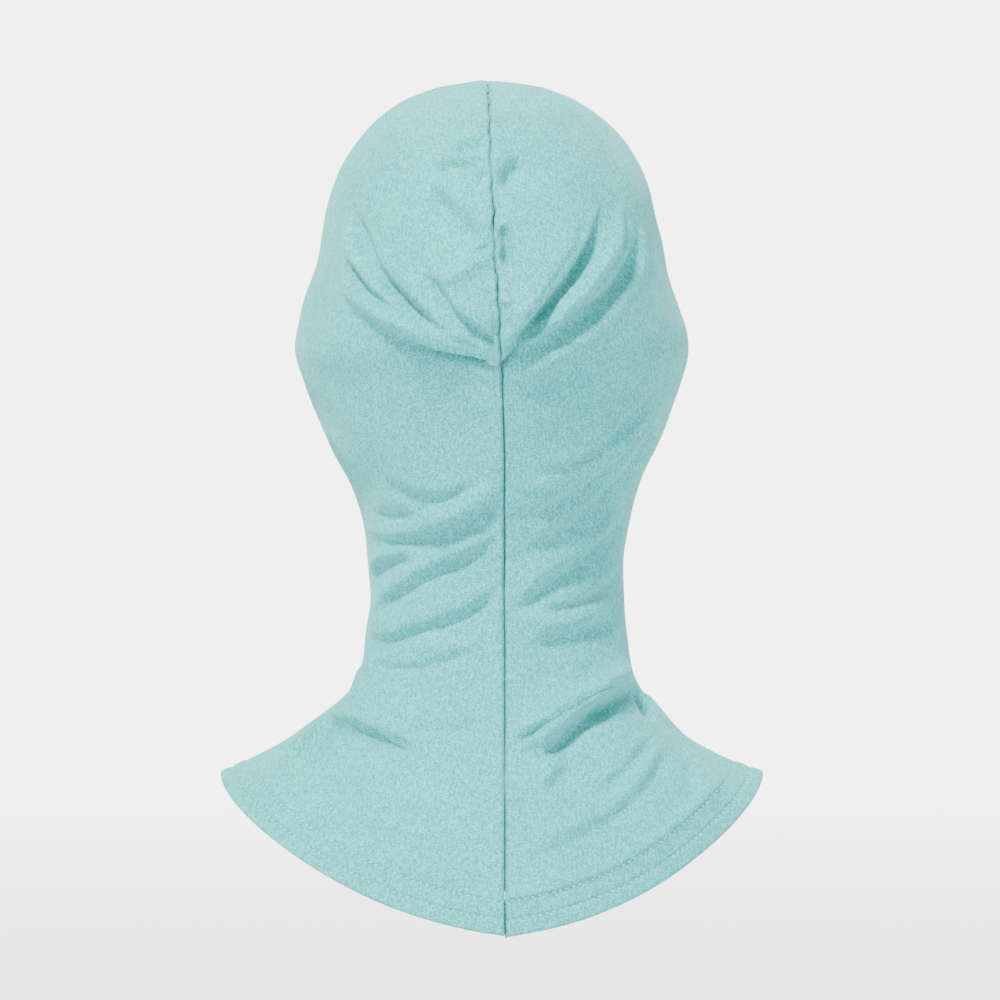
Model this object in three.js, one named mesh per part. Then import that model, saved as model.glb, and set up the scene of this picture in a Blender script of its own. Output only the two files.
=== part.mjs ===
// A close-fitting jersey cap for the head and neck that flares into a short yoke over the shoulders.
// Millimetres. +Z is up and +Y is the way the wearer looks, so the back of the head faces -Y.
// The origin is the inner top of the crown.
import * as THREE from "three";

// Cloth and clearances
const CLOTH = 1;
const GAP = 0.3;
const END_GAP = 2.5;

// Drops below the outer top of the crown
const EAR_DROP = 117;
const NECK_DROP = 240;
const NAPE_DROP = 247;
const THROAT_DROP = 258;
const SHOULDER_DROP = 303;
const BACK_DROP = 367;
const FRONT_DROP = 361;

// Full widths from side to side
const EAR_WIDTH = 174;
const NECK_WIDTH = 114;
const HEM_WIDTH = 238;

// Reach behind and in front of the crown
const HEAD_REAR = 95;
const NECK_REAR = 60;
const HEM_REAR = 100;
const HEAD_FORE = 98;
const NECK_FORE = 52;
const HEM_FORE = 116;

// How far forward the widest line of each landmark lies
const EAR_SHIFT = 3;
const NECK_SHIFT = -5;
const SHOULDER_SHIFT = -10;

// How softly the hem turns at the shoulder, and how sharply it points at the centre
const CORNER = 0.07;
const POINT = 0.3;

// Sideways drift of the back seam, all the way down
const SEAM_DRIFT = 4.5;

// Face opening
const FACE_WIDTH = 132;
const FACE_TOP_DROP = 56;
const FACE_BOTTOM_DROP = 222;

// Turned edges and seam allowances
const HEM_HEIGHT = 15;
const FACE_HEM_HEIGHT = 10;
const ALLOWANCE = 6.5;
const ALLOWANCE_THICK = 1.2;

// Pouch of slack cloth at the back of the head, and the folds
const POUCH_BULGE = 5.5;
const POUCH_LAP = 4;
const FOLD_HEIGHT = 4;
const FOLD_WIDTH = 8;

// Colours
const JERSEY = "#a0d2cf";
const OVERLOCK = "#8fc4c1";

// Landmarks down the head: drops at the side, back and front, half width, reaches and shift
const CROWN = { side: 0, back: 0, front: 0, wide: 0, rear: 0, fore: 0, shift: 0 };
const EARS = {
  side: EAR_DROP,
  back: EAR_DROP,
  front: EAR_DROP,
  wide: EAR_WIDTH / 2,
  rear: HEAD_REAR,
  fore: HEAD_FORE,
  shift: EAR_SHIFT,
};
const NECK = {
  side: NECK_DROP,
  back: NAPE_DROP,
  front: THROAT_DROP,
  wide: NECK_WIDTH / 2,
  rear: NECK_REAR,
  fore: NECK_FORE,
  shift: NECK_SHIFT,
};
const HEM = {
  side: SHOULDER_DROP,
  back: BACK_DROP,
  front: FRONT_DROP,
  wide: HEM_WIDTH / 2,
  rear: HEM_REAR,
  fore: HEM_FORE,
  shift: SHOULDER_SHIFT,
};

// Sections between two landmarks. side, down, wide, rear and fore are shares of the way from the
// upper landmark to the lower one; seam and axis are shares of SEAM_DRIFT.
const HEAD_ROWS = [
  { side: 0.022, down: 0.022, wide: 0.235, rear: 0.285, fore: 0.255, seam: -0.6, axis: -0.45 },
  { side: 0.067, down: 0.067, wide: 0.415, rear: 0.48, fore: 0.449, seam: -0.6, axis: -0.35 },
  { side: 0.145, down: 0.145, wide: 0.575, rear: 0.653, fore: 0.612, seam: -0.5, axis: -0.32 },
  { side: 0.256, down: 0.256, wide: 0.705, rear: 0.8, fore: 0.76, seam: -0.4, axis: -0.3 },
  { side: 0.4, down: 0.4, wide: 0.8, rear: 0.92, fore: 0.878, seam: -0.25, axis: -0.3 },
  { side: 0.555, down: 0.56, wide: 0.85, rear: 0.995, fore: 0.944, seam: -0.05, axis: -0.32 },
  { side: 0.71, down: 0.73, wide: 0.892, rear: 1.03, fore: 0.975, seam: 0.15, axis: -0.32 },
  { side: 0.863, down: 0.89, wide: 0.954, rear: 1.035, fore: 0.99, seam: 0.5, axis: -0.32 },
  { side: 1, down: 1.035, wide: 1, rear: 1, fore: 1, seam: 0.6, axis: -0.25 },
];
const NECK_ROWS = [
  { side: 0.114, down: 0.13, wide: 0.117, rear: 0.17, fore: -0.02, seam: 0.75, axis: -0.15 },
  { side: 0.244, down: 0.25, wide: 0.333, rear: 0.31, fore: 0, seam: 0.85, axis: -0.1 },
  { side: 0.366, down: 0.37, wide: 0.533, rear: 0.46, fore: 0.06, seam: 0.95, axis: -0.05 },
  { side: 0.488, down: 0.49, wide: 0.777, rear: 0.63, fore: 0.17, seam: 0.95, axis: 0.1 },
  { side: 0.61, down: 0.61, wide: 0.94, rear: 0.8, fore: 0.3, seam: 0.95, axis: 0.15 },
  { side: 0.74, down: 0.74, wide: 1.023, rear: 0.93, fore: 0.47, seam: 0.95, axis: 0.2 },
  { side: 0.87, down: 0.87, wide: 1.045, rear: 1, fore: 0.82, seam: 0.95, axis: 0.25 },
  { side: 1, down: 1, wide: 1, rear: 1, fore: 1, seam: 1, axis: 0.25 },
];
const HEM_ROWS = [
  { side: 0.238, down: 0.15, wide: 0.03, rear: 0.06, fore: 0.01, seam: 1, axis: 0.2 },
  { side: 0.43, down: 0.295, wide: 0.12, rear: 0.19, fore: 0.09, seam: 1, axis: 0.1 },
  { side: 0.587, down: 0.45, wide: 0.27, rear: 0.37, fore: 0.25, seam: 1, axis: -0.15 },
  { side: 0.746, down: 0.62, wide: 0.46, rear: 0.58, fore: 0.48, seam: 1, axis: -0.6 },
  { side: 0.873, down: 0.805, wide: 0.705, rear: 0.79, fore: 0.75, seam: 1, axis: -0.4 },
  { side: 1, down: 1, wide: 1, rear: 1, fore: 1, seam: 1, axis: -0.25 },
];
const SECTION_COUNT = HEAD_ROWS.length + NECK_ROWS.length + HEM_ROWS.length;

// Lower edge of the pouch: turn in degrees from the centre back, level in sections below the
// crown, and how strongly the edge laps over.
const LEFT_LAP = [
  { turn: 0, level: 9.08, strength: 0.8 },
  { turn: 8.5, level: 8.78, strength: 1 },
  { turn: 17, level: 8.58, strength: 1 },
  { turn: 24, level: 8.42, strength: 0.85 },
  { turn: 32, level: 8.16, strength: 0.4 },
  { turn: 39.5, level: 7.85, strength: 0.2 },
  { turn: 50.5, level: 7.55, strength: 0.05 },
  { turn: 62, level: 7.35, strength: 0 },
  { turn: 180, level: 7, strength: 0 },
];
const RIGHT_LAP = [
  { turn: 0, level: 9.08, strength: 0.8 },
  { turn: 4, level: 8.74, strength: 0.75 },
  { turn: 8.5, level: 8.48, strength: 0.6 },
  { turn: 14.5, level: 8.14, strength: 0.45 },
  { turn: 21.5, level: 7.87, strength: 0.3 },
  { turn: 29, level: 7.65, strength: 0.15 },
  { turn: 39.5, level: 7.3, strength: 0.05 },
  { turn: 50, level: 7, strength: 0 },
  { turn: 180, level: 7, strength: 0 },
];

// Folds: turn in degrees and level in sections at the start, middle and end, then height as a
// share of FOLD_HEIGHT (a negative height is a valley) and breadth as a share of FOLD_WIDTH.
const LEFT_FOLDS = [
  { start: [2, 9.07], middle: [21.5, 8.68], end: [46.5, 7.3], height: 0.3, breadth: 1.1 },
  { start: [3.5, 8.97], middle: [22, 8.18], end: [48, 6.73], height: 0.45, breadth: 0.8 },
  { start: [3.5, 8.47], middle: [18.5, 7.72], end: [43, 6.9], height: -0.7, breadth: 0.8 },
  { start: [2.5, 6.92], middle: [8.5, 6.27], end: [18, 5.67], height: -0.35, breadth: 1.1 },
  { start: [9, 12.88], middle: [31, 13.61], end: [69, 14.09], height: 0.35, breadth: 1 },
  { start: [8.5, 13.26], middle: [32.5, 14.28], end: [75, 14.47], height: -0.6, breadth: 1 },
  { start: [16, 14.66], middle: [43.5, 15.39], end: [75.5, 16.25], height: -0.45, breadth: 0.9 },
  { start: [11.5, 15.89], middle: [33.5, 16.64], end: [73.5, 17.17], height: -0.4, breadth: 0.8 },
  { start: [17, 17.21], middle: [38, 17.63], end: [72, 17.92], height: -0.4, breadth: 0.8 },
  { start: [77, 20.07], middle: [57, 19.74], end: [40.5, 19.61], height: -0.6, breadth: 0.8 },
  { start: [43.5, 19.19], middle: [24, 19.17], end: [6.5, 18.96], height: -0.35, breadth: 1.1 },
  { start: [85.5, 20.55], middle: [79, 21.31], end: [74, 21.96], height: 0.4, breadth: 1 },
];
const RIGHT_FOLDS = [
  { start: [2, 8.59], middle: [10.5, 7.42], end: [28, 6.04], height: 0.5, breadth: 1 },
  { start: [2, 9.05], middle: [16, 7.75], end: [45, 5.6], height: -1.1, breadth: 0.8 },
  { start: [5, 9.06], middle: [21, 7.9], end: [52, 5.98], height: 0.8, breadth: 0.9 },
  { start: [5, 9.52], middle: [25, 8.38], end: [54, 6.61], height: -0.75, breadth: 0.8 },
  { start: [7.5, 10.18], middle: [23.5, 8.85], end: [57, 6.88], height: 0.4, breadth: 1 },
  { start: [50, 11.1], middle: [57, 11.9], end: [62, 12.7], height: -0.5, breadth: 1 },
  { start: [3.5, 13.45], middle: [23.5, 13.24], end: [50, 12.38], height: -0.35, breadth: 0.9 },
  { start: [6.5, 13.97], middle: [33.5, 13.61], end: [60.5, 12.69], height: 0.35, breadth: 0.9 },
  { start: [3.5, 14.41], middle: [30.5, 14.14], end: [64.5, 13.11], height: -0.45, breadth: 0.9 },
  { start: [4.5, 15.74], middle: [31.5, 15.37], end: [68, 14.66], height: -0.4, breadth: 0.9 },
  { start: [9, 16.12], middle: [34, 16.2], end: [78, 15.87], height: -0.45, breadth: 0.7 },
  { start: [11, 16.96], middle: [38.5, 16.73], end: [75, 16.5], height: -0.35, breadth: 0.8 },
  { start: [2, 19.24], middle: [25, 18.55], end: [71, 17.9], height: 0.5, breadth: 1 },
  { start: [17.5, 19.45], middle: [30.5, 18.92], end: [69, 18.44], height: -0.9, breadth: 1 },
  { start: [26, 20.76], middle: [42, 20.34], end: [60.5, 20.01], height: -0.5, breadth: 0.9 },
  { start: [29.5, 21.08], middle: [47, 20.57], end: [71.5, 19.99], height: 0.5, breadth: 1 },
  { start: [34.5, 21.29], middle: [48.5, 20.95], end: [67, 20.51], height: -0.45, breadth: 0.9 },
];

// Rows down a panel and columns from the centre back to the centre front. The face opening takes
// the columns from FACE_COLUMN on and the rows between FACE_TOP_ROW and FACE_BOTTOM_ROW.
const ROWS = 42;
const COLUMNS = 26;
const FACE_COLUMN = Math.round(0.77 * COLUMNS);
const FACE_TOP_ROW = Math.round(0.24 * ROWS);
const FACE_BOTTOM_ROW = Math.round(0.64 * ROWS);
const LAP_ROW = Math.round(0.36 * ROWS);
// The rows of the lap, from its outermost line to the line where the cloth lies flat again:
// level below the edge in sections, bulge and drop as shares, and the way to the inner side.
const LAP_ROWS = [
  { level: 0, bulge: 1, drop: 0.5, inwards: -0.85, upwards: 0.5 },
  { level: 0.08, bulge: 0.55, drop: 1, inwards: 0.5, upwards: 0.85 },
  { level: 0.16, bulge: 0.1, drop: -0.4, inwards: -0.7, upwards: 0.7 },
  { level: 0.3, bulge: 0, drop: 0, inwards: -1, upwards: 0 },
];
// Sections over which the pouch swells above its edge
const POUCH_SECTIONS = 3.2;

const UP = new THREE.Vector3(0, 0, 1);
const radians = THREE.MathUtils.degToRad;
const smooth = (value) => THREE.MathUtils.smoothstep(value, 0, 1);
const mix = THREE.MathUtils.lerp;

// Sections from the crown down
function sections() {
  const made = [{ ...CROWN, seam: HEAD_ROWS[0].seam, axis: HEAD_ROWS[0].seam }];
  const spans = [
    [CROWN, EARS, HEAD_ROWS],
    [EARS, NECK, NECK_ROWS],
    [NECK, HEM, HEM_ROWS],
  ];
  for (const [upper, lower, rows] of spans) {
    for (const row of rows) {
      made.push({
        side: mix(upper.side, lower.side, row.side),
        back: mix(upper.back, lower.back, row.down),
        front: mix(upper.front, lower.front, row.down),
        wide: mix(upper.wide, lower.wide, row.wide),
        rear: mix(upper.rear, lower.rear, row.rear),
        fore: mix(upper.fore, lower.fore, row.fore),
        shift: mix(upper.shift, lower.shift, row.side),
        seam: row.seam,
        axis: row.axis,
      });
    }
  }
  return made;
}

// A smooth line through one point of each section, carried on across the crown
function profile(points) {
  const across = new THREE.Vector3(points[1].x, -points[1].y, points[1].z);
  return new THREE.CatmullRomCurve3([across, ...points], false, "centripetal");
}
const point = (x, y, z) => new THREE.Vector3(x, y, z);
const list = sections();
const BACK_LINE = profile(list.map((s) => point(s.seam * SEAM_DRIFT, -s.rear, CLOTH - s.back)));
const FRONT_LINE = profile(list.map((s) => point(s.axis * SEAM_DRIFT, s.fore, CLOTH - s.front)));
const SIDE_LINE = profile(list.map((s) => point(s.shift, s.wide, CLOTH - s.side)));
const along = (line, level) => line.getPoint((level + 1) / (SECTION_COUNT + 1));

// The smooth form: side is -1 for the left and 1 for the right, turn in radians from the centre back
function form(side, turn, level) {
  const widest = along(SIDE_LINE, level);
  const back = along(BACK_LINE, level);
  const front = along(FRONT_LINE, level);
  const sine = Math.sin(turn);
  const cosine = Math.cos(turn);
  const end = cosine >= 0 ? back : front;
  const nearBack = ((1 + cosine) / 2) ** 6;
  const rise = Math.hypot(cosine, CORNER) - CORNER;
  const dip = POINT * Math.abs(sine) * (1 - Math.abs(sine)) ** 3;
  const drop = (0.5 * rise) / (Math.hypot(1, CORNER) - CORNER) + 0.5 * Math.abs(cosine) ** 3 - dip;
  return point(
    front.x + (back.x - front.x) * nearBack + side * widest.y * sine,
    mix(widest.x, end.y, Math.abs(cosine)),
    mix(widest.z, end.z, drop),
  );
}

// The way out of the smooth form; on the centre lines it has no sideways part
function outwards(side, turn, level) {
  if (level < 0.01) return UP.clone();
  const step = 0.02;
  const forward = form(side, turn + step, level).sub(form(side, turn - step, level));
  const down = form(side, turn, level + step).sub(form(side, turn, level - step));
  const out = down.cross(forward).multiplyScalar(side);
  if (Math.sin(turn) < 0.001) out.x = 0;
  return out.normalize();
}

// Level and strength of the lap at a turn
function lapAt(side, turn) {
  const rows = side < 0 ? LEFT_LAP : RIGHT_LAP;
  const degrees = THREE.MathUtils.radToDeg(turn);
  const next = Math.max(1, rows.findIndex((row) => row.turn >= degrees - 0.001));
  const [low, high] = [rows[next - 1], rows[next]];
  const share = (degrees - low.turn) / (high.turn - low.turn);
  return {
    level: mix(low.level, high.level, share),
    strength: mix(low.strength, high.strength, share),
  };
}

// Folds as lines on the smooth form
function foldLine(side, fold) {
  const [start, middle, end] = [fold.start, fold.middle, fold.end].map(([turn, level]) =>
    form(side, radians(turn), level),
  );
  const line = new THREE.CatmullRomCurve3([start, middle, end], false, "centripetal");
  return { ...fold, points: line.getPoints(16) };
}
const FOLD_LINES = new Map([
  [-1, LEFT_FOLDS.map((fold) => foldLine(-1, fold))],
  [1, RIGHT_FOLDS.map((fold) => foldLine(1, fold))],
]);

// Height of the folds over a place on the smooth form
function foldHeight(side, place) {
  let height = 0;
  for (const fold of FOLD_LINES.get(side)) {
    const distances = fold.points.map((p) => p.distanceTo(place));
    const nearest = Math.min(...distances);
    const share = distances.indexOf(nearest) / (fold.points.length - 1);
    const taper = smooth(4 * Math.min(share, 1 - share) + 0.25);
    height += fold.height * taper * Math.exp(-((nearest / (fold.breadth * FOLD_WIDTH)) ** 2));
  }
  return height * FOLD_HEIGHT;
}

// Distance along the form per section, at a turn and level
function sectionLength(turn, level) {
  const half = 0.5;
  return form(1, turn, level).distanceTo(form(1, turn, level - half)) / half;
}

// Level of the front line at a drop below the crown
function frontLevel(drop) {
  let low = 0;
  let high = SECTION_COUNT;
  for (let i = 0; i < 40; i++) {
    const middle = (low + high) / 2;
    if (CLOTH - along(FRONT_LINE, middle).z < drop) low = middle;
    else high = middle;
  }
  return low;
}
const FACE_TOP = frontLevel(FACE_TOP_DROP);
const FACE_BOTTOM = frontLevel(FACE_BOTTOM_DROP);
const FACE_TURN = Math.asin(FACE_WIDTH / EAR_WIDTH);
const lastLevel = (turn, height) => SECTION_COUNT - height / sectionLength(turn, SECTION_COUNT);

// Level of a row before the face opening is rounded
function rowLevel(side, turn, row) {
  if (row >= ROWS - 2) return lastLevel(turn, (HEM_HEIGHT * (ROWS - row)) / 2);
  const bottom = lastLevel(turn, HEM_HEIGHT);
  const edge = lapAt(side, turn).level;
  const lapEnd = LAP_ROW + LAP_ROWS.length - 1;
  const lowest = ROWS - 2;
  let atBack = (edge * row) / LAP_ROW;
  if (row > lapEnd) {
    const start = edge + LAP_ROWS.at(-1).level;
    atBack = mix(start, bottom, (row - lapEnd) / (lowest - lapEnd));
  } else if (row > LAP_ROW) {
    atBack = edge + LAP_ROWS[row - LAP_ROW].level;
  }
  let atFront = (FACE_TOP * row) / FACE_TOP_ROW;
  if (row > FACE_BOTTOM_ROW) {
    atFront = mix(FACE_BOTTOM, bottom, (row - FACE_BOTTOM_ROW) / (lowest - FACE_BOTTOM_ROW));
  } else if (row > FACE_TOP_ROW) {
    const share = (row - FACE_TOP_ROW) / (FACE_BOTTOM_ROW - FACE_TOP_ROW);
    atFront = mix(FACE_TOP, FACE_BOTTOM, share);
  }
  return mix(atBack, atFront, smooth((turn - radians(50)) / radians(60)));
}

// Turn of a column before the face opening is rounded
function columnTurn(column) {
  const faceEdge = Math.PI - FACE_TURN;
  if (column <= FACE_COLUMN) return faceEdge * (column / FACE_COLUMN) ** 1.12;
  return mix(faceEdge, Math.PI, (column - FACE_COLUMN) / (COLUMNS - FACE_COLUMN));
}

// Turn and level of a grid place. Round the face opening the grid is drawn from a rectangle into
// an oval, and the change fades out with distance.
function gridPlace(side, row, column) {
  const turn = columnTurn(column);
  const level = rowLevel(side, turn, row);
  const middle = (FACE_TOP + FACE_BOTTOM) / 2;
  const half = (FACE_BOTTOM - FACE_TOP) / 2;
  const across = (Math.PI - turn) / FACE_TURN;
  const down = (level - middle) / half;
  const reach = Math.max(across, Math.abs(down));
  if (reach < 0.001 || reach > 1.8) return { turn, level };
  const a = across / reach;
  const d = down / reach;
  const fade = smooth((reach - 1) / 0.8);
  return {
    turn: Math.PI - FACE_TURN * mix(reach * a * Math.sqrt(1 - (d * d) / 2), across, fade),
    level: middle + half * mix(reach * d * Math.sqrt(1 - (a * a) / 2), down, fade),
  };
}

// A grid point on the outer face of the cloth
function outerPoint(side, row, column) {
  if (row === 0) return form(side, 0, 0);
  const { turn, level } = gridPlace(side, row, column);
  const place = form(side, turn, level);
  const out = outwards(side, turn, level);
  const lap = lapAt(side, turn);
  const lapRow = LAP_ROWS[row - LAP_ROW];
  let swell = row < LAP_ROW ? smooth(1 - (lap.level - level) / POUCH_SECTIONS) : 0;
  if (lapRow) {
    swell = lapRow.bulge;
    place.z -= POUCH_LAP * lapRow.drop * lap.strength;
  }
  const height = POUCH_BULGE * swell * lap.strength + foldHeight(side, form(side, turn, level));
  return place.addScaledVector(out, height);
}

// A panel's grid: outer points and the way from each to the inner face
function panelGrid(side) {
  const outer = [];
  for (let row = 0; row <= ROWS; row++) {
    outer.push([]);
    for (let column = 0; column <= COLUMNS; column++) {
      const place = outerPoint(side, row, column);
      place.x += (side * GAP) / 2;
      outer[row].push(place);
    }
  }
  const inwards = outer.map((line, row) =>
    line.map((place, column) => {
      if (row === 0) return UP.clone().negate();
      const above = outer[row - 1][column];
      const below = outer[Math.min(row + 1, ROWS)][column];
      const behind = line[Math.max(column - 1, 0)];
      const ahead = line[Math.min(column + 1, COLUMNS)];
      const down = below.clone().sub(above);
      const forward = ahead.clone().sub(behind);
      const way = forward.cross(down).multiplyScalar(side);
      if (column === 0 || column === COLUMNS) way.x = 0;
      way.normalize();
      const lapRow = LAP_ROWS[row - LAP_ROW];
      if (!lapRow || !lapRow.upwards) return way;
      const turn = columnTurn(column);
      const out = outwards(side, turn, rowLevel(side, turn, row));
      const turned = out.multiplyScalar(lapRow.inwards).addScaledVector(UP, lapRow.upwards);
      return way.lerp(turned, lapAt(side, turn).strength).normalize();
    }),
  );
  return { outer, inwards };
}

// A closed body between an outer and an inner skin. Cells list point numbers, and each edge that
// only one cell has gets a wall.
function sheet(name, colour, outer, inner, cells) {
  const triangles = [];
  for (const cell of cells) {
    const corners = cell.filter((corner, i) => corner !== cell[(i + 1) % cell.length]);
    for (let i = 2; i < corners.length; i++) triangles.push([corners[0], corners[i - 1], corners[i]]);
  }
  const edges = new Map();
  for (const [a, b, c] of triangles) {
    for (const [from, to] of [
      [a, b],
      [b, c],
      [c, a],
    ]) {
      if (!edges.delete(to + "/" + from)) edges.set(from + "/" + to, [from, to]);
    }
  }
  const shift = outer.length;
  const index = triangles.flat();
  for (const [a, b, c] of triangles) index.push(shift + a, shift + c, shift + b);
  for (const [from, to] of edges.values()) {
    index.push(from, shift + from, to);
    index.push(to, shift + from, shift + to);
  }
  const geometry = new THREE.BufferGeometry().setFromPoints([...outer, ...inner]);
  geometry.setIndex(index);
  geometry.computeVertexNormals();
  const material = new THREE.MeshStandardMaterial({ color: colour, roughness: 0.85 });
  const mesh = new THREE.Mesh(geometry, material);
  mesh.name = name;
  return mesh;
}

const inside = (place, way, depth) => place.clone().addScaledVector(way, depth);

function panel(name, side, grid) {
  const number = (row, column) => (row === 0 ? 0 : row * (COLUMNS + 1) + column);
  const cells = [];
  for (let row = 0; row < ROWS; row++) {
    for (let column = 0; column < COLUMNS; column++) {
      const atFace = row >= FACE_TOP_ROW && row < FACE_BOTTOM_ROW && column >= FACE_COLUMN;
      if (atFace) continue;
      const first = number(row, column + 1);
      const others = [number(row + 1, column + 1), number(row + 1, column), number(row, column)];
      cells.push([first, ...(side < 0 ? others : others.reverse())]);
    }
  }
  const outer = grid.outer.flat();
  const inner = outer.map((place, i) => inside(place, grid.inwards.flat()[i], CLOTH));
  return sheet(name, JERSEY, outer, inner, cells);
}

// A ply against the inner face, from lines of grid places that run along it
function ply(name, colour, lines, thick, closed) {
  const count = lines[0].length;
  const outer = lines.flat().map(({ place, way }) => inside(place, way, GAP));
  const inner = lines.flat().map(({ place, way }) => inside(place, way, GAP + thick));
  const cells = [];
  for (let line = 0; line + 1 < lines.length; line++) {
    for (let i = 0; i < (closed ? count : count - 1); i++) {
      const next = (i + 1) % count;
      const upper = line * count;
      const lower = upper + count;
      cells.push([upper + i, lower + i, lower + next, upper + next]);
    }
  }
  return sheet(name, colour, outer, inner, cells);
}

// Joins a left and a right run of places that meet at both ends into one loop
function loop(left, right) {
  const last = left.length - 1;
  const meet = (i) => ({
    place: left[i].place.clone().lerp(right[i].place, 0.5),
    way: left[i].way,
  });
  return [meet(0), ...left.slice(1, last), meet(last), ...right.slice(1, last).reverse()];
}

const LEFT = panelGrid(-1);
const RIGHT = panelGrid(1);
const innerPlace = (grid, row, column) => ({
  place: inside(grid.outer[row][column], grid.inwards[row][column], CLOTH),
  way: grid.inwards[row][column],
});

function hemTurnup() {
  const columns = Array.from({ length: COLUMNS + 1 }, (_, column) => column);
  const lines = [ROWS - 2, ROWS - 1, ROWS].map((row) =>
    loop(
      columns.map((column) => innerPlace(LEFT, row, column)),
      columns.map((column) => innerPlace(RIGHT, row, column)),
    ),
  );
  return ply("hem_turnup", JERSEY, lines.reverse(), CLOTH, true);
}

// Places round the face opening: along its top, down its side and along its bottom, each with its
// neighbour away from the opening
function faceRun(grid) {
  const run = [];
  for (let column = COLUMNS; column > FACE_COLUMN; column--) {
    run.push([FACE_TOP_ROW, column, FACE_TOP_ROW - 1, column]);
  }
  run.push([FACE_TOP_ROW, FACE_COLUMN, FACE_TOP_ROW - 1, FACE_COLUMN - 1]);
  for (let row = FACE_TOP_ROW + 1; row < FACE_BOTTOM_ROW; row++) {
    run.push([row, FACE_COLUMN, row, FACE_COLUMN - 1]);
  }
  run.push([FACE_BOTTOM_ROW, FACE_COLUMN, FACE_BOTTOM_ROW + 1, FACE_COLUMN - 1]);
  for (let column = FACE_COLUMN + 1; column <= COLUMNS; column++) {
    run.push([FACE_BOTTOM_ROW, column, FACE_BOTTOM_ROW + 1, column]);
  }
  return run.map(([row, column, farRow, farColumn]) => {
    const near = innerPlace(grid, row, column);
    const far = innerPlace(grid, farRow, farColumn);
    const share = Math.min(1, FACE_HEM_HEIGHT / near.place.distanceTo(far.place));
    const farWay = near.way.clone().lerp(far.way, share).normalize();
    const farPlace = near.place.clone().lerp(far.place, share);
    return {
      near: { place: inside(near.place, near.way, GAP), way: near.way },
      far: { place: inside(farPlace, farWay, GAP), way: farWay },
    };
  });
}

function faceHem() {
  const left = faceRun(LEFT);
  const right = faceRun(RIGHT);
  const lines = ["far", "near"].map((edge) =>
    loop(
      left.map((place) => place[edge]),
      right.map((place) => place[edge]),
    ),
  );
  return ply("face_hem", JERSEY, lines, CLOTH, true);
}

const leftPanel = panel("left_panel", -1, LEFT);
const rightPanel = panel("right_panel", 1, RIGHT);

// The first place on the inner face from inside the cap, beside a centre line. Behind the lap it
// is a place on the smooth form, so that an allowance bridges the fold.
function underCloth(turn, level, sideways) {
  const out = outwards(-1, turn, level);
  const way = out.clone().negate();
  const place = form(-1, turn, level);
  place.x += sideways;
  const aboveLap = lapAt(-1, 0).level - level;
  const bridges = turn === 0 && aboveLap > -0.1 && aboveLap < 0.3;
  if (bridges) return { place: inside(place, way, CLOTH + GAP), way };
  const ray = new THREE.Raycaster(inside(place, way, 30), out);
  const [hit] = ray.intersectObject(sideways < 0 ? leftPanel : rightPanel);
  return { place: inside(hit.point, way, GAP), way };
}

// An allowance along a centre line, over a list of turns and levels
function allowance(name, stations) {
  const lines = [-1, -0.5, 0.15].map((share) =>
    stations.map(([turn, level]) => underCloth(turn, level, share * ALLOWANCE)),
  );
  return ply(name, OVERLOCK, lines, ALLOWANCE_THICK, false);
}

// Levels of the rows on a centre line that lie between two levels, with both ends
function stationsBetween(turn, start, end) {
  const levels = [];
  for (let row = 1; row < ROWS; row++) {
    const level = rowLevel(-1, turn, row);
    const underLap = row > LAP_ROW && row < LAP_ROW + LAP_ROWS.length - 1;
    if (turn === 0 && row === LAP_ROW) levels.push(level - 0.25);
    if (turn === 0 && underLap) continue;
    if (level > start + 0.1 && level < end - 0.1) levels.push(level);
  }
  return [start, ...levels, end].map((level) => [turn, level]);
}

function backSeam() {
  const frontEnd = FACE_TOP - (FACE_HEM_HEIGHT + END_GAP) / sectionLength(Math.PI, FACE_TOP);
  const upBack = stationsBetween(0, 0.1, lastLevel(0, HEM_HEIGHT + END_GAP)).reverse();
  const overHead = stationsBetween(Math.PI, 0.1, frontEnd);
  return allowance("back_seam", [...upBack, ...overHead]);
}

function frontSeam() {
  const belowFace = sectionLength(Math.PI, FACE_BOTTOM + 0.5);
  const start = FACE_BOTTOM + (FACE_HEM_HEIGHT + END_GAP) / belowFace;
  const stations = stationsBetween(Math.PI, start, lastLevel(Math.PI, HEM_HEIGHT + END_GAP));
  return allowance("front_seam", stations);
}

const cap = new THREE.Group();
cap.name = "underscarf_cap";
cap.add(leftPanel, rightPanel, backSeam(), frontSeam(), hemTurnup(), faceHem());

export default cap;
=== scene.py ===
"""Looks of a jersey cap for the head and neck: two panels, their seams, turned hems and stitches.

The frame is in metres. The tables and the shaping below are in millimetres, and every mesh is
scaled once, when it is made. +Z is up and +Y is the way that the face opening faces.
"""
from math import pi, radians

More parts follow.
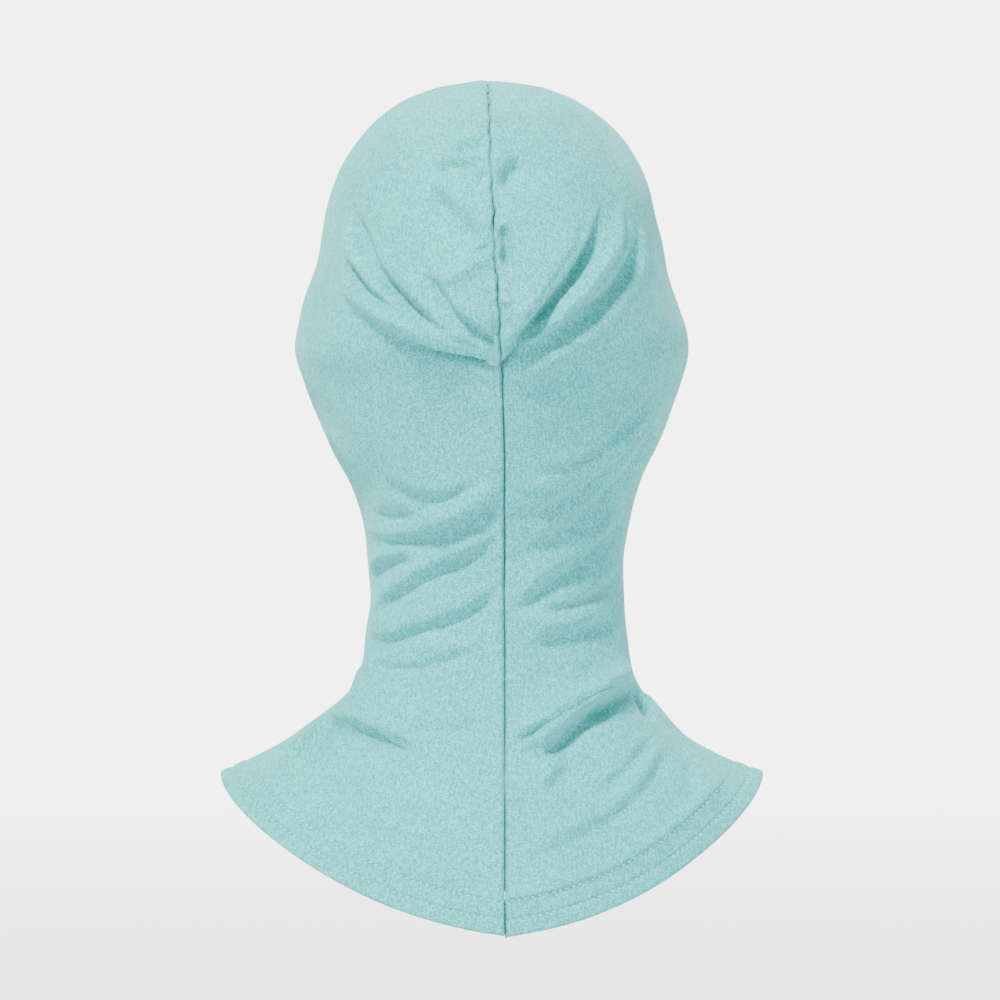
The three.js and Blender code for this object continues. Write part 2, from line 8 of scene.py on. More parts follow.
import bpy
import numpy as np
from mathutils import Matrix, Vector


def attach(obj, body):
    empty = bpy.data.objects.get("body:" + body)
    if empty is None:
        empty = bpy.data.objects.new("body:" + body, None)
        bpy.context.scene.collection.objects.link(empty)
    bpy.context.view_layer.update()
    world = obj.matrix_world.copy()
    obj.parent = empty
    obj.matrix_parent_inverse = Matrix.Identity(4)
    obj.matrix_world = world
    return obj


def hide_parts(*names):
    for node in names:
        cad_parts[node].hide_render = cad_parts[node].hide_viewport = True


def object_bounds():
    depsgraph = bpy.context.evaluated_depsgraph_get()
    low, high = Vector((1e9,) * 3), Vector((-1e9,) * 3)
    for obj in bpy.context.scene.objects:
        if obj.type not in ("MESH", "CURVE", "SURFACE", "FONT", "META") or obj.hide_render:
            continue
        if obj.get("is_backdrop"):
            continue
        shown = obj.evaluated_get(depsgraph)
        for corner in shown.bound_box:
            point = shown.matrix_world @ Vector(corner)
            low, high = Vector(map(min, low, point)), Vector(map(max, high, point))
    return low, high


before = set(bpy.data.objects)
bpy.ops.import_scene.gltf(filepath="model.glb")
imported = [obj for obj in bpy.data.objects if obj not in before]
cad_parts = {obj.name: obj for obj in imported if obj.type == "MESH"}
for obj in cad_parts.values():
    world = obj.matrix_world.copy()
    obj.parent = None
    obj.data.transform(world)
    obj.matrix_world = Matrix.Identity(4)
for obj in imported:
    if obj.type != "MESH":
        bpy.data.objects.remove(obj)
cad_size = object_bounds()

MM = 0.001

# Drops below the outer top of the crown
EAR_DROP, NECK_DROP, NAPE_DROP, THROAT_DROP = 117, 240, 247, 258
SHOULDER_DROP, BACK_DROP, FRONT_DROP = 303, 367, 361
# Full widths, reaches behind and in front of the crown, and forward shifts of the widest line
EAR_WIDTH, NECK_WIDTH, HEM_WIDTH = 174, 114, 238
HEAD_REAR, NECK_REAR, HEM_REAR = 95, 60, 100
HEAD_FORE, NECK_FORE, HEM_FORE = 98, 52, 116
EAR_SHIFT, NECK_SHIFT, SHOULDER_SHIFT = 3, -5, -10
# How softly the hem turns at the shoulder, how sharply it points, and the seam's drift
CORNER, POINT, SEAM_DRIFT = 0.07, 0.3, 4.5
CROWN_TOP = 1.0
# Face opening
FACE_WIDTH, FACE_TOP_DROP, FACE_BOTTOM_DROP = 132, 56, 222
# Cloth, turned edges, allowances, and how far a ply lies off the cloth
CLOTH, PLY, PLY_LIFT = 0.75, 0.7, 0.12
HEM_HEIGHT, FACE_HEM_HEIGHT, ROLL, FACE_HALF = 15, 10, 1.1, 60
ALLOWANCE, ALLOWANCE_THICK = 6.5, 1.0
# Lines across an allowance as shares of it, from its raw edge to just past the seam
SHARES = (-1, -0.75, -0.5, -0.25, -0.1, 0.05, 0.2)
# Seam: gap between the halves, its groove, and where the pouch draws the groove shut
SEAM_GAP = 0.16
SEAM_DEPTH, SEAM_BREADTH = {-1: 1.3, 1: 2.2}, {-1: 0.55, 1: 0.8}
SHUT_LEVEL, SHUT_SECTIONS, SHUT_SHARE = 9.15, 0.16, 0.8
# Sections over which the seam's relief fades in from the crown
CROWN_FADE = 1.5
# Puckers beside the seam, and where and how much they are stronger
PUCKER, PUCKER_REACH = 0.13, 3.0
PUCKERED_LEVEL, PUCKERED_SECTIONS, PUCKERED_MORE = 6.8, 1.8, 1.8
# Ripples of the puckers: share, length, sway and length of the sway
RIPPLES = [(1.0, 1.15, 1.3, 7.7), (0.7, 2.3, 2.0, 9.1)]
# Raised strip over the back allowance: height and softness of its edge
STRIP_HEIGHT, STRIP_EDGE = 0.8, 3
# Wander of the seam: share, waves per section and phase, then size, reach, last level and fade
WANDERS = [(1.0, 7.9, 0.0), (0.6, 17.3, 1.1), (0.3, 41, 0.4)]
WANDER, WANDER_REACH, WANDER_END, WANDER_FADE = 0.32, 9, 12, 6
# Hem: relief and edge of its ply, and how deep and broad a row of stitches sinks
PLY_RELIEF, PLY_EDGE = 0.35, 1.2
ROW_SINK, ROW_BREADTH = 0.8, 0.8
# Hem at the back: ridge and tilt of its ply, and turns in degrees where they fade
HEM_RIDGE, RIDGE_RISE, RIDGE_BREADTH = {-1: 0.4, 1: 2.0}, 1, 2.2
HEM_TILT, TILT_ROUND = {-1: 2.0, 1: 4.4}, 0.1
HEM_BACK_END, HEM_BACK_FADE = 55, 30
# Stitches: rows above the edges, pitch, thread radius, and share of the pitch that shows
STITCH_LINES, FACE_STITCH_LINES = (6.5, 14.0), (4.0, 8.0)
STITCH, THREAD = 3.0, 0.36
HEM_STITCH_SHARE, FACE_STITCH_SHARE = 0.7, 0.72
# Depth of a stitch in the cloth from end to end, and size of a strand's ends
STITCH_DEPTHS = (0.3, 0.1, -0.05, -0.12, -0.05, 0.1, 0.3)
BLUNT = 0.35
# Overlocking: wave, thread radius, inner reach as a share of the allowance, and lift
OVERLOCK_WAVE, OVERLOCK_THREAD, OVERLOCK_REACH, OVERLOCK_LIFT = 2.2, 0.17, 0.45, 0.27
# Display colours
DEEP, BODY, PALE = (36, 123, 122), (50, 144, 143), (69, 168, 167)
# The last seam colour is painted shade, for the fold where the allowance crosses the seam
SEAM_DEEP, SEAM_PALE, SEAM_FOLD_SHADE = (66, 142, 140), (92, 166, 164), (40, 98, 97)
# The last thread colour is painted shade, for the needle holes at a stitch's ends
THREAD_DEEP, THREAD_PALE, THREAD_HOLE_SHADE = (78, 170, 168), (106, 198, 196), (16, 66, 66)
# Floor: drop and radius in mm, sides, colour, its darkest shade, and solid radius in m
FLOOR_DROP, FLOOR_RADIUS, FLOOR_SIDES = -450, 2600, 96
FLOOR_COLOUR, FLOOR_SHADE, FLOOR_SOLID = (0.85, 0.85, 0.85), 0.985, 0.2
# Lights: name, place and size in metres, power in watts; then where they aim
LIGHTS = [
    ("key", (-0.82, -1.6, 2.22), 0.55, 345),
    ("fill", (1.9, -1.9, 0.6), 1.8, 30),
    ("rim", (0.2, 1.4, 1.7), 1.2, 75),
]
TARGET = (0, 0, -0.18)
# Surrounding light: strength at the horizon and elsewhere, and where it fades
HORIZON, ELSEWHERE = 5.4, 0.5
HORIZON_START, HORIZON_END = 0.10, 0.22
# Camera in metres, with its sensor in millimetres
CAMERA_PLACE, FIELD, DISTANCE, SENSOR = (0.00264, -2.3, -0.183), 0.44, 2.3, 36

# Landmarks: drops at the side, back and front, half width, rear, fore, shift
CROWN = (0, 0, 0, 0, 0, 0, 0)
EARS = (EAR_DROP, EAR_DROP, EAR_DROP, EAR_WIDTH / 2, HEAD_REAR, HEAD_FORE, EAR_SHIFT)
NECK = (NECK_DROP, NAPE_DROP, THROAT_DROP, NECK_WIDTH / 2, NECK_REAR, NECK_FORE, NECK_SHIFT)
HEM = (SHOULDER_DROP, BACK_DROP, FRONT_DROP, HEM_WIDTH / 2, HEM_REAR, HEM_FORE, SHOULDER_SHIFT)
# Sections between two landmarks: side, down, wide, rear and fore as shares of the way between
# them, then the seam's and the front line's drift as shares of SEAM_DRIFT
HEAD_ROWS = [
    (0.022, 0.022, 0.235, 0.285, 0.255, -0.6, -0.45),
    (0.067, 0.067, 0.415, 0.48, 0.449, -0.6, -0.35),
    (0.145, 0.145, 0.575, 0.653, 0.612, -0.5, -0.32),
    (0.256, 0.256, 0.705, 0.8, 0.76, -0.4, -0.3),
    (0.4, 0.4, 0.8, 0.92, 0.878, -0.25, -0.3),
    (0.555, 0.56, 0.85, 0.995, 0.944, -0.05, -0.32),
    (0.71, 0.73, 0.892, 1.03, 0.975, 0.15, -0.32),
    (0.863, 0.89, 0.954, 1.035, 0.99, 0.5, -0.32),
    (1, 1.035, 1, 1, 1, 0.6, -0.25),
]
NECK_ROWS = [
    (0.114, 0.13, 0.117, 0.17, -0.02, 0.75, -0.15),
    (0.244, 0.25, 0.333, 0.31, 0, 0.85, -0.1),
    (0.366, 0.37, 0.533, 0.46, 0.06, 0.95, -0.05),
    (0.488, 0.49, 0.777, 0.63, 0.17, 0.95, 0.1),
    (0.61, 0.61, 0.94, 0.8, 0.3, 0.95, 0.15),
    (0.74, 0.74, 1.023, 0.93, 0.47, 0.95, 0.2),
    (0.87, 0.87, 1.045, 1, 0.82, 0.95, 0.25),
    (1, 1, 1, 1, 1, 1, 0.25),
]
HEM_ROWS = [
    (0.238, 0.15, 0.03, 0.06, 0.01, 1, 0.2),
    (0.43, 0.295, 0.12, 0.19, 0.09, 1, 0.1),
    (0.587, 0.45, 0.27, 0.37, 0.25, 1, -0.15),
    (0.746, 0.62, 0.46, 0.58, 0.48, 1, -0.6),
    (0.873, 0.805, 0.705, 0.79, 0.75, 1, -0.4),
    (1, 1, 1, 1, 1, 1, -0.25),
]
LAST = len(HEAD_ROWS) + len(NECK_ROWS) + len(HEM_ROWS)

# Lower edge of the pouch: turn in degrees, level in sections, strength
LAP = {
    -1: [
        (0, 9.08, 0.55), (3, 8.97, 0.7), (5, 8.9, 0.95), (8.5, 8.78, 1), (17, 8.58, 1),
        (24, 8.42, 0.65), (27, 8.34, 0.35), (32, 8.16, 0.2), (39.5, 7.85, 0.12), (50.5, 7.55, 0.05),
        (62, 7.35, 0), (180, 7, 0),
    ],
    1: [
        (0, 9.08, 0.55), (4, 8.74, 0.6), (8.5, 8.48, 0.55), (14.5, 8.14, 0.4), (21.5, 7.87, 0.3),
        (29, 7.65, 0.15), (39.5, 7.3, 0.05), (50, 7, 0), (180, 7, 0),
    ],
}
# The lap from its outermost line to where the cloth lies flat again: bulge and drop as shares
LAP_SHAPE = [
    (1, 0), (0.96, 0.5), (0.82, 0.9), (0.58, 1), (0.36, 0.5), (0.3, -0.3), (0.36, -0.2),
    (0.4, 0),
]
LEFT_OVER, LEFT_OVER_SECTIONS = 0.4, 2.2
POUCH_BULGE, POUCH_LAP, POUCH_SECTIONS, LAP_SECTIONS = 5.0, 4.0, 3.2, 0.3
TUCK, TUCK_SECTIONS = 6.5, 0.24
WALL_SHIFT = 0.6
# The roll of cloth above a valley: height as a share of the valley's depth, then its place and
# its breadths above and below as shares of the valley's breadth above
CREST = {-1: 0.6, 1: 0.5}
CREST_AT, CREST_ABOVE, CREST_BELOW = 2.0, 3.4, 1.4
# How sharply ridges and valleys turn, and how round the bottom of a valley is
RIDGE_POWER, VALLEY_POWER, VALLEY_ROUND = 2.0, 1.35, 0.5
# Points along a fold, its reach in breadths, its taper, and its height and breadth at the ends
FOLD_POINTS, FOLD_REACH = 60, 3.2
TAPER, END_HEIGHT, END_BREADTH = 0.24, 0.1, 0.45
# Unevenness of slack cloth: height in mm, waves per radian and per section, phase
WAVES = [
    (0.22, 3.1, 1.9, 0.4), (0.18, -5.3, 2.6, 1.9), (0.14, 8.9, 1.4, 3.2), (0.12, -7.7, -3.3, 0.9),
    (0.10, 13.1, 3.9, 2.2), (0.08, -17.3, 2.2, 5.1),
]
WAVE_FADE = 2

# Folds from the seam outwards: height in mm (negative for a valley), breadths above and below
# the line in mm, then (turn in degrees, level in sections) along it
LEFT_FOLDS = [
    # Slack of the pouch above its lower edge
    (3.6, 6, 5, [(5, 8.8), (12.5, 8.5), (22, 7.9), (32, 7.3), (48.5, 6.4)]),
    (-6.4, 1.9, 4, [(56, 5.6), (50.5, 6.25), (38.5, 7.2), (31.5, 7.65), (21.5, 8.25), (8, 8.85)]),
    (-4.2, 1.5, 2.8, [(54, 6.85), (47.5, 7.3), (40, 7.7), (33.5, 7.95), (22, 8.4)]),
    (2.6, 5, 4, [(5.5, 9.05), (19.5, 8.75), (30.5, 8.3), (44, 7.8), (54, 7.4)]),
    (-4, 1.6, 4, [(1, 8.75), (6, 8.45), (11, 8.15), (16.5, 7.55), (20, 7.1)]),
    (-2, 2, 3.2, [(1.5, 8.55), (4, 8.55)]),
    (3.4, 3.5, 2.6, [(16, 7.45), (8, 7.05), (0.5, 6.75)]),
    (-3.6, 3.2, 6, [(3, 6.5), (10, 6), (22, 5.2)]),
    (-1.4, 1.4, 2.8, [(2, 6.6), (6.5, 6.7)]),
    # Puckers beside the seam at the crown
    (-2.6, 1.1, 2.8, [(2.5, 4.15), (8.5, 4.2), (15.5, 4.35)]),
    (2.4, 2, 1.8, [(2.5, 4.55), (12, 4.5), (22.5, 4.65)]),
    (-2.4, 1, 2.8, [(1.5, 4.7), (10.5, 4.7), (21.5, 4.85)]),
    (-2.4, 1, 2.2, [(1.5, 4.95), (5.5, 5.1)]),
    # Neck
    (-1.6, 1.6, 4.6, [(5, 12.5), (20, 13.1), (29, 13.2), (41.5, 12.95), (50, 12.5)]),
    (3.3, 5, 5, [(3, 12.75), (11, 13.15), (21, 13.6), (35.5, 13.95)]),
    (-1.4, 1.8, 4.4, [(36.5, 13.65), (47.5, 13.7), (63, 13.75)]),
    (-2.8, 1.6, 3.8, [(1, 13.05), (9.5, 13.65), (32, 14.25), (49, 14.45), (82, 14.4)]),
    (-2.6, 1.6, 3.6, [(40, 14.8), (59.5, 15.1), (80, 15.5)]),
    (-2.9, 1.6, 3.8, [(1, 14.1), (17, 14.8), (33.5, 15.25), (51.5, 15.85), (80, 16.6)]),
    (-2.8, 1.6, 3.8, [(2, 15.4), (14, 16.1), (39.5, 16.75), (55.5, 17.1), (80, 17.2)]),
    (-1.2, 1.4, 2.8, [(20.5, 17.1), (37, 17.3), (54.5, 17.4), (67, 17.35)]),
    (-2.2, 1.5, 3.6, [(8, 16.9), (26, 17.4), (38.5, 17.65), (53.5, 17.8), (82, 17.8)]),
    (-2, 2.1, 5.5, [(74, 13.05), (71.5, 12.3), (74.5, 11.5)]),
    # Shoulder
    (-1.7, 2.1, 4.5, [(4, 18.75), (16, 19), (32, 19.25), (48, 19.35), (76, 19.35)]),
    (1.6, 4.5, 1.8, [(20, 19.6), (38.5, 19.45), (50.5, 19.45), (65.5, 19.55), (80, 19.8)]),
    (-5.2, 1.2, 2.4, [(26, 19.8), (39.5, 19.7), (53, 19.7), (64.5, 19.8), (84, 20.1)]),
    (-3, 2.4, 3.8, [(75, 19.5), (83.5, 18.95), (89, 18.2)]),
    (-4, 1.6, 2.4, [(77, 19.9), (75, 20.6), (72, 21.6)]),
    (-3.4, 1.4, 2, [(76, 19.9), (68, 20.35), (61, 20.8)]),
    (1.6, 1.6, 1.6, [(77.5, 20.35), (74.5, 21.1), (72, 21.9)]),
    (1.6, 1.6, 1.6, [(73.5, 20.6), (66, 20.8), (59.5, 21.05)]),
    (1.4, 1.6, 1.6, [(66.5, 20.15), (59, 20.4), (53, 20.65)]),
]
RIGHT_FOLDS = [
    # Slack of the pouch above and beside its lower edge
    (3, 10, 2.6, [(1.5, 8.35), (7, 7.85), (13.5, 7.3), (21.5, 6.65), (34, 5.5)]),
    (-5.4, 1.5, 3.6, [(0.5, 9.15), (7, 8.45), (15, 7.8), (23, 7.25), (30.5, 6.65), (41, 5.5)]),
    (-2.8, 1.4, 3.2, [(0.5, 9.15), (5, 8.65), (11, 8.15), (17, 7.65)]),
    (4.6, 4.2, 2.6, [(4, 9), (11, 8.6), (21, 7.95), (33, 7.15), (44, 6.4), (51, 5.5)]),
    (-1.7, 1.3, 2.2, [(17.5, 8.1), (22, 7.9), (26.5, 7.7)]),
    (-4.2, 2.2, 5.2, [(2, 9.3), (11, 8.85), (18, 8.5), (37, 7.55), (48, 6.95), (58, 6)]),
    (2.3, 2.5, 5, [(3, 10.1), (12.5, 9.35), (35.5, 8.1), (59, 6.6), (58.5, 6)]),
    (-1.1, 2.1, 7.7, [(4, 10.55), (13, 9.9), (22, 9.2)]),
    (-4.8, 2.8, 5.5, [(2.5, 5.3), (6, 4.85), (11.5, 4.5)]),
    (1.4, 4, 4, [(4, 5.6), (8.5, 5.2), (13.5, 4.8)]),
    (-4, 1.4, 2.2, [(2.5, 7.1), (3, 6.55), (2.5, 6.1)]),
    (1.6, 2, 2, [(1, 7.85), (4, 7.7)]),
    # Jaw and neck
    (-2.1, 1.5, 5.5, [(12.5, 12.5), (25, 12.3), (43, 11.45), (50.5, 10.9), (55.5, 10.55)]),
    (1.8, 4, 4, [(4, 13.05), (19, 12.7), (31.5, 12.35), (45, 11.85), (53, 11.2)]),
    (-2.8, 2.1, 5, [(10, 13.55), (20.5, 13.4), (39, 12.7), (55, 11.6), (62.5, 10.9)]),
    (-3.4, 4.2, 6.6, [(45, 13.35), (55.5, 12.85), (63, 12.05), (69.5, 11)]),
    (-2.4, 2.1, 5.5, [(8, 14.6), (22, 14.2), (37, 13.7), (49, 13.15), (56.5, 12.7)]),
    (-3.1, 2.1, 6.1, [(3.5, 16.1), (15.5, 15.6), (45, 14.7), (61.5, 14.3), (69.5, 13.75)]),
    (1.6, 2.5, 2.5, [(20, 15), (44, 14.35), (59.5, 13.75)]),
    (-2.9, 1.8, 5, [(14.5, 16.1), (27, 16.1), (40.5, 15.95), (57.5, 15.7), (76, 15.3)]),
    (1.8, 4, 5, [(1.5, 16.35), (23, 16.3), (46, 16.15), (63.5, 15.9)]),
    (-2.8, 2.1, 6.6, [(10.5, 17), (22.5, 16.8), (35.5, 16.75), (51, 16.65), (67, 16.45)]),
    # Shoulder
    (3.6, 5, 4, [(39, 18.3), (54.5, 18.15), (76.5, 18.05)]),
    (4.4, 4, 2.2, [(1, 19.25), (10, 18.95), (22, 18.65), (43, 18.3), (71.5, 18.15)]),
    (4.2, 2.2, 3, [(2.5, 19.5), (12, 19.25), (22.5, 18.95), (38.5, 18.65), (66.5, 18.45)]),
    (-1.3, 1.2, 1.6, [(2, 19.35), (11.5, 19.1), (23, 18.8), (40.5, 18.45), (67, 18.3)]),
    (-5.4, 1.8, 4.2, [(12, 19.7), (21.5, 19.35), (29, 19.05), (40.5, 18.8), (56, 18.7)]),
    (-3.4, 1.4, 3, [(34, 18.95), (54.5, 18.7), (78, 18.65)]),
    (-2.4, 1.5, 3.4, [(13, 20.45), (17.5, 20.2), (23, 20)]),
    (-2, 5.6, 9.9, [(2, 20.65), (7, 20.35)]),
    (-2, 1.5, 3.4, [(27, 20.85), (41, 20.65), (51.5, 20.45), (64.5, 20.25)]),
    (2.8, 4, 4.2, [(4, 21.5), (15.5, 21.3), (29, 21.2), (40, 21.05), (52.5, 20.75), (69, 20.35)]),
    (-1.4, 1.4, 3.2, [(5, 21.7), (21, 21.5), (33, 21.4), (46, 21.2), (59, 20.95), (73.5, 20.8)]),
    (-3.6, 3.5, 3.5, [(79.5, 18.75), (77, 19.4), (72.5, 20.05)]),
    (-2, 3, 3, [(72.5, 21.5), (63, 21.85), (56, 22.2)]),
]
FOLDS = {-1: LEFT_FOLDS, 1: RIGHT_FOLDS}

# Grid rows as (place at the end of a zone, cells in it), with the crown at 0, and likewise the
# columns from the centre back. Whole numbers mark the face opening, the lap and the hem.
FACE_TOP_ROW, LAP_ROW, LAP_END, FACE_BOTTOM_ROW, HEM_ROW, LAST_ROW = 10, 15, 18, 27, 40, 42
FACE_COLUMN, LAST_COLUMN = 20, 26
ROW_ZONES = [
    (9.6, 58), (10, 5), (15, 62), (18, 26), (26.6, 66), (27, 5), (27.4, 5), (39.9, 82),
    (40.4, 8), (40.9, 4), (41.35, 8), (41.7, 3), (42, 6),
]
COLUMN_ZONES = [(19.7, 118), (20, 6), (26, 16)]
# How the columns spread from the centre back
SPREAD = 1.45
# Turns in degrees where the rows begin to follow the face opening and over which they change
FRONT_START, FRONT_FADE = 50, 60
# How far beyond the face opening its oval bends the grid, in halves of the opening
OVAL_FADE = 0.8
# Grid rows that the allowances keep clear of: crown, face opening, chin, hem and lap
CROWN_CLEAR, FACE_CLEAR, CHIN_CLEAR, BACK_CLEAR, FRONT_CLEAR = 0.6, 1.9, 1.2, 0.2, 0.3
LAP_CLEAR_ABOVE, LAP_CLEAR_BELOW = 0.25, 0.2
# Heights in mm of the lines across each ply, and grid cells out from the face edge
HEM_PLY_LINES = (1.3, 2.2, 4, 6.5, 9, 11.5, 14.2, HEM_HEIGHT + 0.2)
FACE_PLY_LINES = (1.5, 3, 5, 7, 9, FACE_HEM_HEIGHT)
FACE_FAN = (0, 1, 2, 3, 4, 5, 6, 8, 10, 12, 14, 17)
# Fine levels in a section, the step that finds the way out, and how soon it leaves the centre
FINE, NUDGE, CENTRE = 200, 0.02, 25


def smooth(value):
    value = np.clip(value, 0, 1)
    return value * value * (3 - 2 * value)


def bell(distance, breadth):
    return np.exp(-((distance / breadth) ** 2))


def unit(vectors):
    return vectors / np.maximum(np.linalg.norm(vectors, axis=-1, keepdims=True), 1e-9)


def through(points, place):
    """Places on a smooth curve through the points; place counts points from the first."""
    points = np.asarray(points, float)
    place = np.clip(np.asarray(place, float), 0, len(points) - 1)
    first = np.minimum(place.astype(int), len(points) - 2)
    way = (place - first)[..., None]
    ends = np.vstack([2 * points[0] - points[1], points, 2 * points[-1] - points[-2]])
    a, b, c, d = (ends[first + k] for k in range(4))

    def knot(p, q):
        return np.maximum(((q - p) ** 2).sum(-1), 1e-12)[..., None] ** 0.25

    ab, bc, cd = knot(a, b), knot(b, c), knot(c, d)
    leave = ((b - a) / ab - (c - a) / (ab + bc) + (c - b) / bc) * bc
    reach = ((c - b) / bc - (d - b) / (bc + cd) + (d - c) / cd) * bc
    bend = 3 * (c - b) - 2 * leave - reach
    return b + leave * way + bend * way**2 + (leave + reach - 2 * (c - b)) * way**3


# The smooth form of the cap


def sections():
    """Side, back and front drop, half width, rear, fore, shift, seam and axis drift of each one."""
    made = [[0.0] * 7 + [HEAD_ROWS[0][5], HEAD_ROWS[0][5]]]
    spans = ((CROWN, EARS, HEAD_ROWS), (EARS, NECK, NECK_ROWS), (NECK, HEM, HEM_ROWS))
    for upper, lower, rows in spans:
        for side, down, wide, rear, fore, seam, axis in rows:
            shares = (side, down, down, wide, rear, fore, side)
            made.append([u + (v - u) * s for u, v, s in zip(upper, lower, shares)] + [seam, axis])
    return np.array(made)


LEVELS = np.linspace(-1, LAST, FINE * (LAST + 1) + 1)


def section_line(x, y, z):
    """A fine line through one point of each section, carried on across the crown."""
    points = np.stack([x + 0 * z, y + 0 * z, z], -1)
    return through(np.vstack([points[1] * (1, -1, 1), points]), LEVELS + 1)


SECTION = sections().T
SIDE_LINE = section_line(SECTION[6], SECTION[3], CROWN_TOP - SECTION[0])
BACK_LINE = section_line(SECTION[7] * SEAM_DRIFT, -SECTION[4], CROWN_TOP - SECTION[1])
FRONT_LINE = section_line(SECTION[8] * SEAM_DRIFT, SECTION[5], CROWN_TOP - SECTION[2])


def spaced(spots, length, values):
    """Values at given lengths along a line."""
    return np.stack([np.interp(spots, length, values[:, k]) for k in range(3)], -1)


def form(side, turn, level):
    """The smooth form; side is -1 or 1, turn in radians from the centre back."""
    turn, level = np.broadcast_arrays(np.asarray(turn, float), np.asarray(level, float))
    lines = (SIDE_LINE, BACK_LINE, FRONT_LINE)
    widest, back, front = (spaced(level, LEVELS, line) for line in lines)
    sine, cosine = np.sin(turn), np.cos(turn)
    end = np.where((cosine >= 0)[..., None], back, front)
    near_back = ((1 + cosine) / 2) ** 6
    rise = np.hypot(cosine, CORNER) - CORNER
    dip = POINT * np.abs(sine) * (1 - np.abs(sine)) ** 3
    drop = 0.5 * rise / (np.hypot(1, CORNER) - CORNER) + 0.5 * np.abs(cosine) ** 3 - dip
    x = front[..., 0] + (back[..., 0] - front[..., 0]) * near_back + side * widest[..., 1] * sine
    y = widest[..., 0] + (end[..., 1] - widest[..., 0]) * np.abs(cosine)
    z = widest[..., 2] + (end[..., 2] - widest[..., 2]) * drop
    return np.stack([x, y, z], -1)


def outwards(side, turn, level):
    """The way out of the smooth form; on the centre lines it has no sideways part."""
    level = np.maximum(level, NUDGE)
    forward = form(side, turn + NUDGE, level) - form(side, turn - NUDGE, level)
    down = form(side, turn, level + NUDGE) - form(side, turn, level - NUDGE)
    out = unit(side * np.cross(down, forward))
    out[..., 0] *= smooth(np.sin(turn) * CENTRE)
    return unit(out)


def lap_at(side, turn):
    """Level and strength of the pouch's lower edge."""
    rows = np.array(LAP[side])
    degrees = np.degrees(turn)
    return np.interp(degrees, rows[:, 0], rows[:, 1]), np.interp(degrees, rows[:, 0], rows[:, 2])


def front_level(drop):
    """Level at which the front line lies at a drop."""
    return float(np.interp(drop, CROWN_TOP - FRONT_LINE[FINE:, 2], LEVELS[FINE:]))


FACE_TOP, FACE_BOTTOM = front_level(FACE_TOP_DROP), front_level(FACE_BOTTOM_DROP)
FACE_TURN = float(np.arcsin(FACE_WIDTH / EAR_WIDTH))


def section_length(turn, level, step=0.5):
    """Millimetres of cloth in a section, just above a level."""
    return np.linalg.norm(form(1, turn, level) - form(1, turn, level - step), axis=-1) / step


# The grid that every piece is cut from


def places(zones):
    """Grid places, spaced evenly inside each zone."""
    made = [0.0]
    for end, cells in zones:
        made += list(np.linspace(made[-1], end, cells + 1)[1:])
    return np.array(made)


ROWS, COLUMNS = places(ROW_ZONES), places(COLUMN_ZONES)


def grid_place(side):
    """Turn and level of every grid place, drawn into an oval round the face opening."""
    row, column = np.meshgrid(ROWS, COLUMNS, indexing="ij")
    face_edge = pi - FACE_TURN
    back_share = np.minimum(column / FACE_COLUMN, 1) ** SPREAD
    face_share = np.maximum(column - FACE_COLUMN, 0) / (LAST_COLUMN - FACE_COLUMN)
    turn = face_edge * back_share + FACE_TURN * face_share
    edge, _ = lap_at(side, turn)
    bottom = LAST - HEM_HEIGHT / section_length(turn, np.full_like(turn, LAST))

    def rise(start, height, first, last):
        return start + height * (row - first) / (last - first)

    in_hem = rise(bottom, LAST - bottom, HEM_ROW, LAST_ROW)
    at_back = np.select(
        [row <= LAP_ROW, row <= LAP_END, row <= HEM_ROW],
        [
            rise(0, edge, 0, LAP_ROW),
            rise(edge, LAP_SECTIONS, LAP_ROW, LAP_END),
            rise(edge + LAP_SECTIONS, bottom - edge - LAP_SECTIONS, LAP_END, HEM_ROW),
        ],
        in_hem,
    )
    at_front = np.select(
        [row <= FACE_TOP_ROW, row <= FACE_BOTTOM_ROW, row <= HEM_ROW],
        [
            rise(0, FACE_TOP, 0, FACE_TOP_ROW),
            rise(FACE_TOP, FACE_BOTTOM - FACE_TOP, FACE_TOP_ROW, FACE_BOTTOM_ROW),
            rise(FACE_BOTTOM, bottom - FACE_BOTTOM, FACE_BOTTOM_ROW, HEM_ROW),
        ],
        in_hem,
    )
    share = smooth((turn - radians(FRONT_START)) / radians(FRONT_FADE))
    level = at_back + (at_front - at_back) * share
    middle, half = (FACE_TOP + FACE_BOTTOM) / 2, (FACE_BOTTOM - FACE_TOP) / 2
    across, down = (pi - turn) / FACE_TURN, (level - middle) / half
    reach = np.maximum(np.maximum(across, np.abs(down)), 1e-6)
    fade = smooth((reach - 1) / OVAL_FADE)
    squeeze_across = across * np.sqrt(np.maximum(1 - (down / reach) ** 2 / 2, 0))
    squeeze_down = down * np.sqrt(np.maximum(1 - (across / reach) ** 2 / 2, 0))
    near = reach < 1 + OVAL_FADE
    turn = np.where(near, pi - FACE_TURN * (squeeze_across + (across - squeeze_across) * fade), turn)
    level = np.where(near, middle + half * (squeeze_down + (down - squeeze_down) * fade), level)
    return turn, level, row, column


